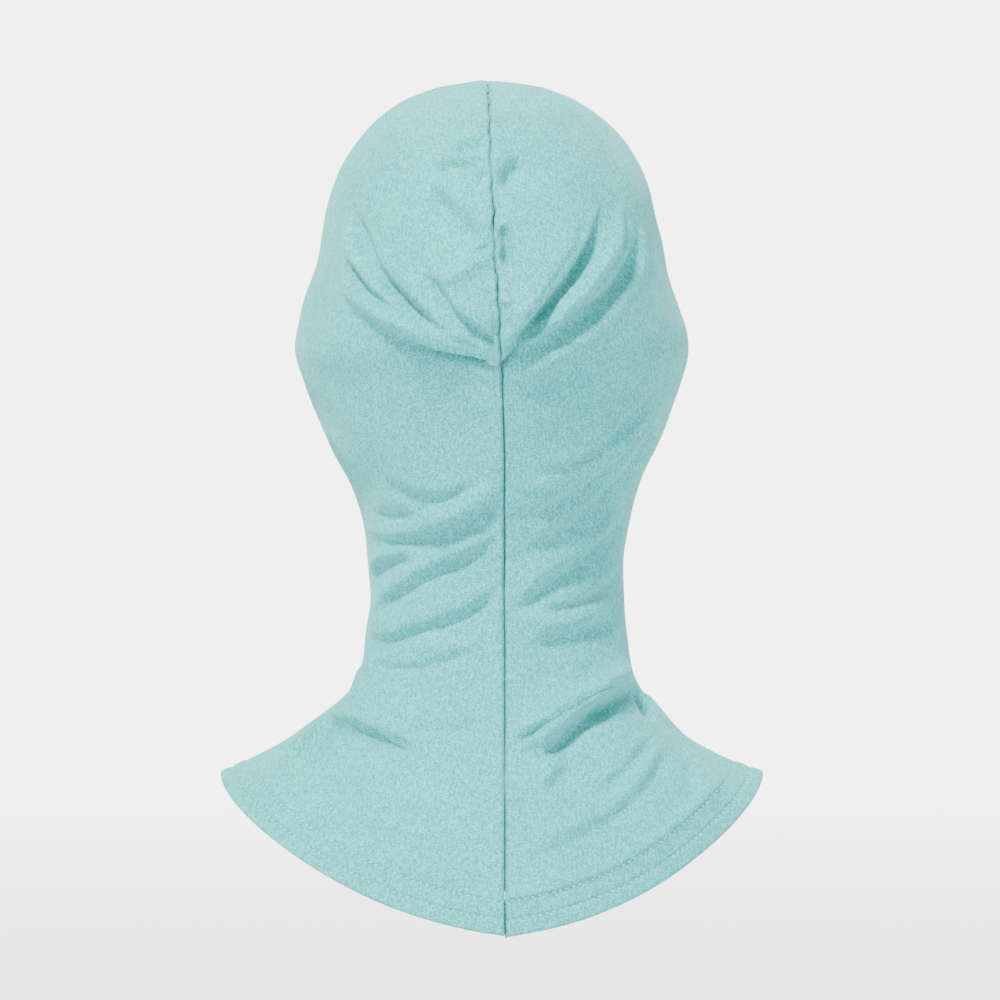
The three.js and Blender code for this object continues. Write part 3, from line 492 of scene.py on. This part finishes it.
def fold_height(side, base, out):
    """Height in mm of all folds over the places of the smooth form."""
    height = np.zeros(base.shape[:-1])
    for size, above, below, stations in FOLDS[side]:
        knots = np.array([form(side, radians(turn), level) for turn, level in stations])
        line = through(knots, np.linspace(0, len(knots) - 1, FOLD_POINTS))
        reach = FOLD_REACH * max(above, below)
        low, high = line.min(0) - reach, line.max(0) + reach
        near = ((base > low) & (base < high)).all(-1)
        if not near.any():
            continue
        place, way_out = base[near], out[near]
        gap = place[:, None] - line[None]
        distance = np.linalg.norm(gap, axis=-1)
        first = distance.argmin(1)
        tangent = unit(np.gradient(line, axis=0))[first]
        here = np.arange(len(place)), first
        off = gap[here]
        upwards = side * np.cross(way_out, tangent)
        signed = (off * upwards).sum(-1)
        moved = signed + WALL_SHIFT * above if size < 0 else signed
        share = first / (FOLD_POINTS - 1)
        taper = smooth(np.minimum(share, 1 - share) / TAPER * (1 - END_HEIGHT) + END_HEIGHT)
        narrow = END_BREADTH + (1 - END_BREADTH) * taper
        breadth = (above + (below - above) * smooth(0.5 - moved / (above + below))) * narrow
        past = np.maximum(distance[here] ** 2 - signed**2, 0)
        from_line = np.sqrt(past + moved**2)
        power = RIDGE_POWER
        if size < 0:
            from_line = np.hypot(from_line, VALLEY_ROUND) - VALLEY_ROUND
            power = VALLEY_POWER
            crest = signed - CREST_AT * above * narrow
            spread = np.where(crest > 0, CREST_ABOVE, CREST_BELOW) * above * narrow
            height[near] -= CREST[side] * size * taper * np.exp(-(crest**2 + past) / spread**2)
        height[near] += size * taper * np.exp(-((from_line / breadth) ** power))
    return height


def waves(turn, level, side):
    """Slight unevenness of slack cloth, in mm."""
    height = np.zeros_like(turn)
    for size, per_turn, per_level, phase in WAVES:
        height += size * np.sin(per_turn * turn + per_level * level + phase * (2 + side))
    return height * smooth(level / WAVE_FADE)


def at_seam(height, side, across, down, level):
    """Height with the seam's groove, its puckers and the strip over its allowance."""
    from_crown = smooth(level / CROWN_FADE)
    open_share = 1 - SHUT_SHARE * bell(level - SHUT_LEVEL, SHUT_SECTIONS)
    groove = bell(across, SEAM_BREADTH[side]) * SEAM_DEPTH[side] * open_share
    ripple = sum(
        share * np.sin(down / length + sway * np.sin(down / sway_length))
        for share, length, sway, sway_length in RIPPLES
    )
    stronger = 1 + PUCKERED_MORE * bell(level - PUCKERED_LEVEL, PUCKERED_SECTIONS)
    pucker = PUCKER * ripple * bell(across, PUCKER_REACH) * stronger
    height = height + (pucker - groove) * from_crown
    if side < 0:
        height += STRIP_HEIGHT * smooth((ALLOWANCE - across) / STRIP_EDGE + 0.5) * from_crown
    return height


def at_hem(height, side, turn, rim):
    """Height with the hem's ply, its rows of stitches, and its ridge and tilt at the back."""
    height = height + PLY_RELIEF * smooth((HEM_HEIGHT - rim) / PLY_EDGE + 0.5)
    for line in STITCH_LINES:
        height -= ROW_SINK * bell(rim - line, ROW_BREADTH)
    at_back = 1 - smooth((turn - radians(HEM_BACK_END)) / radians(HEM_BACK_FADE))
    height += HEM_RIDGE[side] * bell(rim - HEM_HEIGHT - RIDGE_RISE, RIDGE_BREADTH) * at_back
    up = rim / HEM_HEIGHT
    return height - HEM_TILT[side] * at_back * (np.hypot(1 - up, TILT_ROUND) + 1 - up) / 2


def seam_wander(across, level):
    """How far the cloth beside the seam is drawn sideways."""
    wander = sum(share * np.sin(level * rate + phase) for share, rate, phase in WANDERS)
    fades = smooth(level / CROWN_FADE), smooth((WANDER_END - level) / WANDER_FADE)
    return WANDER * wander * bell(across, WANDER_REACH) * fades[0] * fades[1]


def arc_lengths(points, axis):
    """Lengths from the first point to each one along an axis."""
    step = np.linalg.norm(np.diff(points, axis=axis), axis=-1)
    zero = np.zeros_like(np.take(step, [0], axis=axis))
    return np.concatenate([zero, np.cumsum(step, axis=axis)], axis=axis)


def panel_surface(side):
    """Outer points, the ways inwards, and the lengths across and down of a panel's grid."""
    turn, level, row, column = grid_place(side)
    base, out = form(side, turn, level), outwards(side, turn, level)
    edge, strength = lap_at(side, turn)
    step = (row - LAP_ROW) / (LAP_END - LAP_ROW) * (len(LAP_SHAPE) - 1)
    lap = through(np.pad(np.array(LAP_SHAPE), ((0, 0), (0, 1))), step)
    in_lap = (row > LAP_ROW) & (row <= LAP_END)
    above_lap = smooth(1 - (edge - level) / POUCH_SECTIONS)
    below_lap = LEFT_OVER * smooth(1 - (level - edge - LAP_SECTIONS) / LEFT_OVER_SECTIONS)
    swell = np.select([in_lap, row <= LAP_ROW], [lap[..., 0], above_lap], below_lap)
    drop = np.where(in_lap, lap[..., 1], 0.0)
    across = arc_lengths(base, 1)
    down = arc_lengths(base, 0)
    height = POUCH_BULGE * swell * strength + fold_height(side, base, out) + waves(turn, level, side)
    height -= TUCK * strength * bell(level - edge - LAP_SECTIONS, TUCK_SECTIONS)
    height = at_seam(height, side, across, down, level)
    rim = (LAST - level) * section_length(turn, np.full_like(turn, LAST))
    height = at_hem(height, side, turn, rim)
    place = base + out * height[..., None]
    place[..., 2] -= POUCH_LAP * drop * strength
    place = roll_edges(place, out, rim, turn, level)
    place[..., 0] += side * SEAM_GAP / 2
    place[..., 0] += seam_wander(across, level)
    return {
        "outer": place, "inwards": inner_ways(side, place), "across": across, "down": down,
    }


def roll_edges(place, out, rim, turn, level):
    """Turns the hem and the face edge inwards, round a small radius."""
    middle, half = (FACE_TOP + FACE_BOTTOM) / 2, (FACE_BOTTOM - FACE_TOP) / 2
    reach = np.hypot((pi - turn) / FACE_TURN, (level - middle) / half)
    face = (reach - 1) * FACE_HALF
    for distance in (rim, face):
        share = np.clip(1 - distance / ROLL, 0, 1)
        place = place - out * (ROLL * (1 - np.sqrt(1 - share**2)))[..., None]
    return place


def inner_ways(side, place):
    """The way inwards at each grid point, from its neighbours."""
    down, forward = np.gradient(place, axis=0), np.gradient(place, axis=1)
    ways = side * np.cross(forward, down)
    ways[:, 0, 0] = 0
    ways[:, -1, 0] = 0
    ways[0] = (0, 0, -1)
    return unit(ways)


# Making meshes


def link(name, mesh):
    piece = bpy.data.objects.new(name, mesh)
    bpy.context.scene.collection.objects.link(piece)
    return piece


def make_mesh(name, points, faces, flow=None):
    """A smooth mesh from millimetre points; flow gives each point's lengths across and down."""
    mesh = bpy.data.meshes.new(name)
    mesh.from_pydata((np.asarray(points) * MM).tolist(), [], faces)
    mesh.polygons.foreach_set("use_smooth", [True] * len(mesh.polygons))
    if flow is not None:
        layer = mesh.uv_layers.new(name="flow")
        corners = np.empty(len(mesh.loops), int)
        mesh.loops.foreach_get("vertex_index", corners)
        layer.data.foreach_set("uv", (np.asarray(flow)[corners] * MM).ravel())
    mesh.validate()
    mesh.update()
    return mesh


def shell(name, outer, inner, cells, flow=None):
    """A closed body between two skins; an edge that only one cell has gets a wall."""
    cells = [tuple(dict.fromkeys(cell)) for cell in cells]
    cells = [cell for cell in cells if len(cell) > 2]
    count = len(outer)
    edges = {}
    for cell in cells:
        for a, b in zip(cell, cell[1:] + cell[:1]):
            if edges.pop((b, a), None) is None:
                edges[(a, b)] = True
    faces = cells + [tuple(count + i for i in reversed(cell)) for cell in cells]
    faces += [(a, count + a, count + b, b) for a, b in edges]
    both = None if flow is None else np.vstack([flow, flow])
    return make_mesh(name, np.vstack([outer, inner]), faces, both)


def panel(name, side, surface):
    rows, columns = len(ROWS), len(COLUMNS)
    number = np.arange(rows * columns).reshape(rows, columns)
    number[0] = 0
    cells = []
    for i in range(rows - 1):
        at_face = FACE_TOP_ROW <= ROWS[i] < FACE_BOTTOM_ROW
        for j in range(columns - 1):
            if at_face and COLUMNS[j] >= FACE_COLUMN:
                continue
            cell = (number[i, j], number[i + 1, j], number[i + 1, j + 1], number[i, j + 1])
            cells.append(tuple(int(k) for k in (cell if side < 0 else cell[::-1])))
    outer = surface["outer"].reshape(-1, 3)
    inner = outer + surface["inwards"].reshape(-1, 3) * CLOTH
    flow = np.stack([surface["across"], surface["down"]], -1).reshape(-1, 2)
    used = np.unique([k for cell in cells for k in cell])
    order = np.full(len(outer), -1)
    order[used] = np.arange(len(used))
    cells = [tuple(int(order[k]) for k in cell) for cell in cells]
    return link(name, shell(name, outer[used], inner[used], cells, flow[used]))


def band(name, lines, thick, closed):
    """A ply against an inner face. Each line is (places, ways inwards), and all run along it."""
    count = len(lines[0][0])
    outer = np.vstack([places + ways * PLY_LIFT for places, ways in lines])
    inner = np.vstack([places + ways * (PLY_LIFT + thick) for places, ways in lines])
    cells = []
    for line in range(len(lines) - 1):
        for i in range(count if closed else count - 1):
            upper, lower, j = line * count, (line + 1) * count, (i + 1) % count
            cells.append((upper + i, lower + i, lower + j, upper + j))
    lengths = arc_lengths(lines[0][0], 0)
    steps = [np.linalg.norm(lower[0][0] - upper[0][0]) for upper, lower in zip(lines, lines[1:])]
    across = np.concatenate([[0], np.cumsum(steps)])
    flow = np.vstack([np.stack([np.full(count, across[k]), lengths], -1) for k in range(len(lines))])
    return link(name, shell(name, outer, inner, cells, flow))


LEFT, RIGHT = panel_surface(-1), panel_surface(1)


def inner_line(surface, rows, columns):
    """Places on the inner face at fractional grid rows and columns, with the ways inwards."""
    rows, columns = np.broadcast_arrays(np.asarray(rows, float), np.asarray(columns, float))
    i = np.minimum(rows.astype(int), len(ROWS) - 2)
    j = np.minimum(columns.astype(int), len(COLUMNS) - 2)
    u, v = (rows - i)[:, None], (columns - j)[:, None]
    result = []
    for key in ("outer", "inwards"):
        grid = surface[key]
        upper = grid[i, j] * (1 - v) + grid[i, j + 1] * v
        lower = grid[i + 1, j] * (1 - v) + grid[i + 1, j + 1] * v
        result.append(upper * (1 - u) + lower * u)
    ways = unit(result[1])
    return result[0] + ways * CLOTH, ways


def index_of(places, value):
    """Fractional grid number of a place."""
    return np.interp(value, places, np.arange(len(places)))


def joined(left, right):
    """One loop from a left and a right run that meet at both ends."""
    places = np.vstack([left[0], right[0][::-1][1:-1]])
    ways = np.vstack([left[1], right[1][::-1][1:-1]])
    for k, other in ((0, 0), (len(left[0]) - 1, -1)):
        places[k] = (left[0][other] + right[0][other]) / 2
    return places, ways


def hem_run(surface, height):
    """Inner places at a height above the hem."""
    row = index_of(ROWS, LAST_ROW - (LAST_ROW - HEM_ROW) * height / HEM_HEIGHT)
    return inner_line(surface, row, np.arange(len(COLUMNS)))


def hem_turnup():
    """The hem's inner ply, all the way round."""
    lines = [joined(hem_run(LEFT, height), hem_run(RIGHT, height)) for height in HEM_PLY_LINES]
    return band("hem_ply", lines, PLY, True)


def face_run(surface, offset):
    """Inner places round the face opening, offset cells away from it."""
    top, bottom = index_of(ROWS, FACE_TOP_ROW), index_of(ROWS, FACE_BOTTOM_ROW)
    side, last = index_of(COLUMNS, FACE_COLUMN), len(COLUMNS) - 1
    upper = [(top - offset, c) for c in np.arange(last, side, -1)]
    corner = [(top - offset * t, side - offset * (1 - t)) for t in (1, 0.5, 0)]
    down = [(r, side - offset) for r in np.arange(top + 1, bottom, 1)]
    lower_corner = [(bottom + offset * t, side - offset * (1 - t)) for t in (0, 0.5, 1)]
    lower = [(bottom + offset, c) for c in np.arange(side + 1, last + 1, 1)]
    run = np.array(upper + corner + down + lower_corner + lower)
    return inner_line(surface, run[:, 0], run[:, 1])


def resized(lines, heights):
    """Lines at given distances in mm from the first of a fan of lines."""
    stack = np.stack([places for places, _ in lines])
    ways = np.stack([way for _, way in lines])
    length = arc_lengths(stack, 0)
    made = []
    for height in heights:
        spot = np.array([np.interp(height, column, np.arange(len(lines))) for column in length.T])
        i, k = np.minimum(spot.astype(int), len(lines) - 2), np.arange(len(spot))
        near, far = (1 - spot + i)[:, None], (spot - i)[:, None]
        places, turned = (grid[i, k] * near + grid[i + 1, k] * far for grid in (stack, ways))
        made.append((places, unit(turned)))
    return made


def face_lines(heights):
    """Loops round the face opening at distances in mm from its edge."""
    runs = []
    for surface in (LEFT, RIGHT):
        fan = [face_run(surface, offset) for offset in FACE_FAN]
        runs.append(resized(fan, heights))
    return [joined(left, right) for left, right in zip(*runs)]


def face_hem():
    """The face opening's inner ply, all the way round."""
    return band("face_ply", face_lines(FACE_PLY_LINES)[::-1], PLY, True)


def seam_stations(first_row, last_row):
    """Grid rows beside a centre line, without those of the lap."""
    rows = np.arange(index_of(ROWS, first_row), index_of(ROWS, last_row), 2)
    low, high = index_of(ROWS, LAP_ROW - LAP_CLEAR_ABOVE), index_of(ROWS, LAP_END + LAP_CLEAR_BELOW)
    return rows, (rows < low) | (rows > high)


def beside_seam(surface, rows, distance, at_front):
    """Inner places at a distance in mm from a centre line."""
    lengths = surface["across"][rows.astype(int)]
    columns = np.arange(len(COLUMNS))
    spots = [
        np.interp(line[-1] - distance if at_front else distance, line, columns) for line in lengths
    ]
    return inner_line(surface, rows, np.array(spots))


def allowance(name, runs):
    """An overlocked allowance: lines from its raw edge, over the seam, to its other edge."""
    lines = [runs(abs(share) * ALLOWANCE, share < 0) for share in SHARES]
    return band(name, lines, ALLOWANCE_THICK, False)


def back_runs(distance, on_left):
    """A line up the back and over the head to the face edge, at a distance from the seam."""
    surface = LEFT if on_left else RIGHT
    up_rows, clear = seam_stations(CROWN_CLEAR, HEM_ROW - BACK_CLEAR)
    over_rows = np.arange(index_of(ROWS, CROWN_CLEAR), index_of(ROWS, FACE_TOP_ROW - FACE_CLEAR), 2)
    back = beside_seam(surface, up_rows[clear], distance, False)
    front = beside_seam(surface, over_rows, distance, True)
    return np.vstack([back[0][::-1], front[0]]), np.vstack([back[1][::-1], front[1]])


def front_runs(distance, on_left):
    """A line down the front from the face edge, at a distance from the seam."""
    surface = LEFT if on_left else RIGHT
    top, end = index_of(ROWS, FACE_BOTTOM_ROW + CHIN_CLEAR), index_of(ROWS, HEM_ROW - FRONT_CLEAR)
    rows = np.arange(top, end, 2)
    return beside_seam(surface, rows, distance, True)


# Threads


def thread(points, radius, sides=6):
    """Points, faces and shares of the way along of a thin round strand with blunt ends."""
    points = np.asarray(points, float)
    tangent = unit(np.gradient(points, axis=0))
    aside = unit(np.cross(tangent, (0.31, 0.17, 0.94)))
    up = np.cross(aside, tangent)
    turns = np.linspace(0, 2 * pi, sides, endpoint=False)
    size = np.full(len(points), radius)
    size[[0, -1]] *= BLUNT
    ring = aside[:, None] * np.cos(turns)[None, :, None] + up[:, None] * np.sin(turns)[None, :, None]
    made = (points[:, None] + ring * size[:, None, None]).reshape(-1, 3)
    faces = [tuple(range(sides)), tuple(range(len(made) - 1, len(made) - sides - 1, -1))]
    for i in range(len(points) - 1):
        for k in range(sides):
            a, b = i * sides + k, i * sides + (k + 1) % sides
            faces.append((a, a + sides, b + sides, b))
    return made, faces, np.repeat(np.linspace(0, 1, len(points)), sides)


def threads(name, strands):
    """All strands as one mesh; the flow runs from 0 to 1 along each."""
    points, faces, flow, count = [], [], [], 0
    for made, cells, shares in strands:
        points.append(made)
        flow.append(np.stack([shares, shares], -1) / MM)
        faces += [tuple(count + i for i in cell) for cell in cells]
        count += len(made)
    return link(name, make_mesh(name, np.vstack(points), faces, np.vstack(flow)))


def dashes(line, ways, share):
    """Stitches along a line on the cloth: each dips into it at both ends."""
    length = arc_lengths(line, 0)
    depth = np.array(STITCH_DEPTHS)
    for k in range(int(length[-1] // STITCH)):
        start = (k + 0.5 * (1 - share)) * STITCH
        spots = start + np.linspace(0, share * STITCH, len(depth))
        place, way = spaced(spots, length, line), unit(spaced(spots, length, ways))
        yield thread(place + way * depth[:, None], THREAD)


def hem_stitches():
    strands = []
    for height in STITCH_LINES:
        for surface in (LEFT, RIGHT):
            place, way = hem_run(surface, height)
            strands += dashes(place - way * CLOTH, way, HEM_STITCH_SHARE)
    return threads("hem_stitches", strands)


def face_stitches():
    strands = []
    for place, way in face_lines(FACE_STITCH_LINES):
        place, way = np.vstack([place, place[:1]]), np.vstack([way, way[:1]])
        strands += dashes(place - way * CLOTH, way, FACE_STITCH_SHARE)
    return threads("face_stitches", strands)


def overlock_threads(name, runs):
    """Thread that runs to and fro over an allowance's raw edge."""
    near, far = runs(OVERLOCK_REACH * ALLOWANCE, True), runs(ALLOWANCE, True)
    length = arc_lengths(near[0], 0)
    spots = np.arange(0.5, length[-1] - 0.5, OVERLOCK_WAVE / 6)
    swing = 0.5 - 0.5 * np.cos(spots / OVERLOCK_WAVE * 2 * pi)
    inner, outer = spaced(spots, length, near[0]), spaced(spots, length, far[0])
    way = unit(spaced(spots, length, near[1]))
    place = inner + (outer - inner) * swing[:, None] + way * (ALLOWANCE_THICK + OVERLOCK_LIFT)
    return threads(name, [thread(place, OVERLOCK_THREAD, 5)])


# Materials


class Shader:
    """A small builder of node trees, for a material or a world."""

    def __init__(self, name, kind="materials"):
        self.owner = getattr(bpy.data, kind).new(name)
        self.owner.use_nodes = True
        self.tree = self.owner.node_tree
        self.surface = self.tree.nodes.get("Principled BSDF")

    def flow(self):
        """Lengths across and down the cloth."""
        return self.node("ShaderNodeUVMap", uv_map="flow").outputs["UV"]

    def solid(self):
        return self.node("ShaderNodeTexCoord").outputs["Object"]

    def join(self, output, name):
        self.tree.links.new(output, self.surface.inputs[name])

    def look(self, values):
        for name, value in values.items():
            self.surface.inputs[name].default_value = value

    def node(self, kind, inputs=None, **settings):
        made = self.tree.nodes.new(kind)
        for key, value in settings.items():
            setattr(made, key, value)
        for key, value in (inputs or {}).items():
            if isinstance(value, bpy.types.NodeSocket):
                self.tree.links.new(value, made.inputs[key])
            else:
                made.inputs[key].default_value = value
        return made

    def noise(self, source, scale, detail=2.0, roughness=0.5):
        made = self.node(
            "ShaderNodeTexNoise",
            {"Vector": source, "Scale": scale, "Detail": detail, "Roughness": roughness},
        )
        return made.outputs["Fac"]

    def stretched(self, source, across, down):
        made = self.node("ShaderNodeMapping", {"Vector": source, "Scale": (across, down, 1)})
        return made.outputs["Vector"]

    def math(self, kind, first, second):
        made = self.node("ShaderNodeMath", {0: first, 1: second}, operation=kind)
        return made.outputs[0]

    def blend(self, parts):
        """Sum of sources, each times its share."""
        total = None
        for source, share in parts:
            part = self.math("MULTIPLY", source, share)
            total = part if total is None else self.math("ADD", total, part)
        return total

    def bands(self, flow, scale, distortion, detail, direction):
        source = self.stretched(flow, 1000, 1000)
        inputs = {"Vector": source, "Scale": scale, "Distortion": distortion, "Detail": detail}
        made = self.node("ShaderNodeTexWave", inputs, wave_type="BANDS", bands_direction=direction)
        return made.outputs["Fac"]

    def tinted(self, share, colour, other):
        """A colour that turns into another one as the share goes from 0 to 1."""
        inputs = {0: share, 6: colour, 7: (*other, 1)}
        return self.node("ShaderNodeMix", inputs, data_type="RGBA").outputs[2]

    def span(self, value, first, last, **settings):
        """0 at the first value and 1 at the last."""
        inputs = {"Value": value, "From Min": first, "From Max": last}
        return self.node("ShaderNodeMapRange", inputs, **settings).outputs[0]

    def ramp(self, source, stops):
        made = self.node("ShaderNodeValToRGB", {"Fac": source})
        elements = made.color_ramp.elements
        while len(elements) < len(stops):
            elements.new(0.5)
        for element, (place, colour) in zip(elements, stops):
            element.position = place
            element.color = (*colour, 1)
        return made.outputs["Color"]

    def bump(self, height, strength, distance, after=None):
        inputs = {"Height": height, "Strength": strength, "Distance": distance}
        if after is not None:
            inputs["Normal"] = after
        return self.node("ShaderNodeBump", inputs).outputs["Normal"]


def linear(colour):
    """Scene colour of a display colour given as 0 to 255."""
    values = np.array(colour) / 255
    return tuple(np.where(values <= 0.04045, values / 12.92, ((values + 0.055) / 1.055) ** 2.4))


def jersey(name):
    """Fine jersey: knit columns, short streaks of yarn and a soft fuzz."""
    made = Shader(name)
    flow, solid = made.flow(), made.solid()
    grain = made.noise(solid, 1350, 1.5, 0.6)
    yarn = made.noise(made.stretched(flow, 800, 330), 1.0, 3.0, 0.6)
    slub = made.noise(made.stretched(flow, 240, 90), 1.0, 2.0, 0.5)
    cloud = made.noise(solid, 28, 2.0, 0.5)
    mixed = made.blend([(grain, 0.54), (yarn, 0.34), (slub, 0.06), (cloud, 0.06)])
    stops = [(0.42, linear(DEEP)), (0.5, linear(BODY)), (0.58, linear(PALE))]
    made.join(made.ramp(mixed, stops), "Base Color")
    wales = made.bands(flow, 0.29, 1.2, 1.0, "X")
    normal = made.bump(made.blend([(wales, 0.35), (yarn, 0.9)]), 0.5, 0.0003)
    made.join(made.bump(grain, 0.8, 0.0005, normal), "Normal")
    made.look({
        "Roughness": 0.82, "Specular IOR Level": 0.22, "Sheen Weight": 0.16,
        "Sheen Roughness": 0.42, "Sheen Tint": (0.66, 0.96, 0.94, 1),
    })
    return made.owner


def overlocked(name):
    """The doubled raw edge, with ribs across it where the thread binds it and painted shade at the seam."""
    made = Shader(name)
    flow = made.flow()
    ribs = made.bands(flow, 0.22, 2.0, 2.0, "Y")
    grain = made.noise(made.solid(), 1300, 2.0, 0.6)
    mixed = made.blend([(ribs, 0.5), (grain, 0.5)])
    colour = made.ramp(mixed, [(0.3, linear(SEAM_DEEP)), (0.7, linear(SEAM_PALE))])
    # Painted shade in the fold of the allowance where it crosses the seam
    across = made.node("ShaderNodeSeparateXYZ", {0: flow}).outputs["X"]
    painted_fold_shade = made.span(across, 0.8 * ALLOWANCE * MM, 0.9 * ALLOWANCE * MM)
    made.join(made.tinted(painted_fold_shade, colour, linear(SEAM_FOLD_SHADE)), "Base Color")
    made.join(made.bump(mixed, 0.7, 0.0003), "Normal")
    made.look({"Roughness": 0.85, "Sheen Weight": 0.3})
    return made.owner


def spun_thread(name):
    """Twisted sewing thread, with painted shade at its ends where it dips into the cloth."""
    made = Shader(name)
    twist = made.node(
        "ShaderNodeTexWave",
        {"Vector": made.solid(), "Scale": 900, "Distortion": 1.5},
        bands_direction="DIAGONAL",
    ).outputs["Fac"]
    colour = made.ramp(twist, [(0.2, linear(THREAD_DEEP)), (0.8, linear(THREAD_PALE))])
    along_it = made.node("ShaderNodeSeparateXYZ", {0: made.flow()}).outputs["X"]
    off_middle = made.math("ABSOLUTE", made.math("SUBTRACT", along_it, 0.5), 0)
    # Painted shade at both ends of each strand, where it sinks into its needle hole
    end = made.span(off_middle, 0.2, 0.36)
    made.join(made.tinted(end, colour, linear(THREAD_HOLE_SHADE)), "Base Color")
    made.join(made.bump(twist, 0.4, 0.0001), "Normal")
    made.look({"Roughness": 0.55, "Sheen Weight": 0.2})
    return made.owner


def pale_floor(name):
    """A plain matt floor that fades away with the distance from its middle."""
    made = Shader(name)
    place = made.solid()
    speckle = made.noise(place, 60, 3.0, 0.5)
    shade = tuple(FLOOR_SHADE * part for part in FLOOR_COLOUR)
    made.join(made.ramp(speckle, [(0.3, shade), (0.7, FLOOR_COLOUR)]), "Base Color")
    made.look({"Roughness": 0.9, "Specular IOR Level": 0.1})
    flat = made.node("ShaderNodeVectorMath", {0: place, 1: (1, 1, 0)}, operation="MULTIPLY").outputs[0]
    distance = made.node("ShaderNodeVectorMath", {0: flat}, operation="LENGTH").outputs["Value"]
    fade = made.span(distance, FLOOR_SOLID, MM * FLOOR_RADIUS, interpolation_type="SMOOTHSTEP")
    clear = made.node("ShaderNodeBsdfTransparent")
    mixed = made.node(
        "ShaderNodeMixShader", {"Fac": fade, 1: made.surface.outputs[0], 2: clear.outputs[0]}
    )
    output = made.tree.nodes["Material Output"]
    made.tree.links.new(mixed.outputs[0], output.inputs["Surface"])
    return made.owner


# Building


def take(piece, slot, material, *nodes):
    piece.data.materials.append(material)
    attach(piece, "root")
    if nodes:
        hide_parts(*nodes)
    return piece


cloth, edging = jersey("jersey_cloth"), overlocked("overlocked_edge")
yarn_thread = spun_thread("sewing_thread")
left_panel = take(panel("left_cloth", -1, LEFT), "jersey", cloth, "left_panel")
right_panel = take(panel("right_cloth", 1, RIGHT), "jersey", cloth, "right_panel")
hem = take(hem_turnup(), "jersey", cloth, "hem_turnup")
face = take(face_hem(), "jersey", cloth, "face_hem")
back_edge = take(allowance("back_allowance", back_runs), "overlock", edging, "back_seam")
front_edge = take(allowance("front_allowance", front_runs), "overlock", edging, "front_seam")
hem_thread = take(hem_stitches(), "overlock", yarn_thread)
face_thread = take(face_stitches(), "overlock", yarn_thread)
back_thread = take(overlock_threads("back_overlocking", back_runs), "overlock", yarn_thread)
front_thread = take(overlock_threads("front_overlocking", front_runs), "overlock", yarn_thread)


# Stage, light and camera


def stage_floor():
    turns = np.linspace(0, 2 * pi, FLOOR_SIDES, endpoint=False)
    points = [(0, 0, FLOOR_DROP)]
    points += [(FLOOR_RADIUS * np.cos(t), FLOOR_RADIUS * np.sin(t), FLOOR_DROP) for t in turns]
    faces = [(0, 1 + i, 1 + (i + 1) % FLOOR_SIDES) for i in range(FLOOR_SIDES)]
    floor = link("floor", make_mesh("floor", points, faces))
    floor.data.materials.append(pale_floor("pale_floor"))
    floor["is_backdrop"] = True


def area_light(name, place, size, power):
    light = bpy.data.lights.new(name, "AREA")
    light.shape = "DISK"
    light.size = size
    light.energy = power
    lamp = link(name, light)
    lamp.location = place
    lamp.rotation_euler = (Vector(TARGET) - Vector(place)).to_track_quat("-Z", "Y").to_euler()


def studio_world():
    """Even white light, brighter in a band round the horizon."""
    made = Shader("studio", "worlds")
    place = made.node("ShaderNodeTexCoord").outputs["Generated"]
    height = made.node("ShaderNodeSeparateXYZ", {0: place}).outputs["Z"]
    heights = {"Value": made.math("ABSOLUTE", height, 0), "From Min": HORIZON_START, "From Max": HORIZON_END}
    strengths = {"To Min": HORIZON, "To Max": ELSEWHERE}
    band = made.node("ShaderNodeMapRange", heights | strengths, interpolation_type="SMOOTHSTEP")
    background = made.tree.nodes["Background"].inputs
    made.tree.links.new(band.outputs["Result"], background["Strength"])
    background["Color"].default_value = (1, 1, 1, 1)
    bpy.context.scene.world = made.owner


def stage_camera():
    camera = link("camera", bpy.data.cameras.new("camera"))
    camera.location = CAMERA_PLACE
    camera.rotation_euler = (pi / 2, 0, 0)
    camera.data.sensor_width = SENSOR
    camera.data.lens = SENSOR * DISTANCE / FIELD
    return camera


stage_floor()
for light_values in LIGHTS:
    area_light(*light_values)
studio_world()
bpy.context.scene.camera = stage_camera()

made_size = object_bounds()
corners = [[[round(float(v), 5) for v in corner] for corner in box] for box in (cad_size, made_size)]
"\n".join(str(corner) for box in corners for corner in box) + "\n"
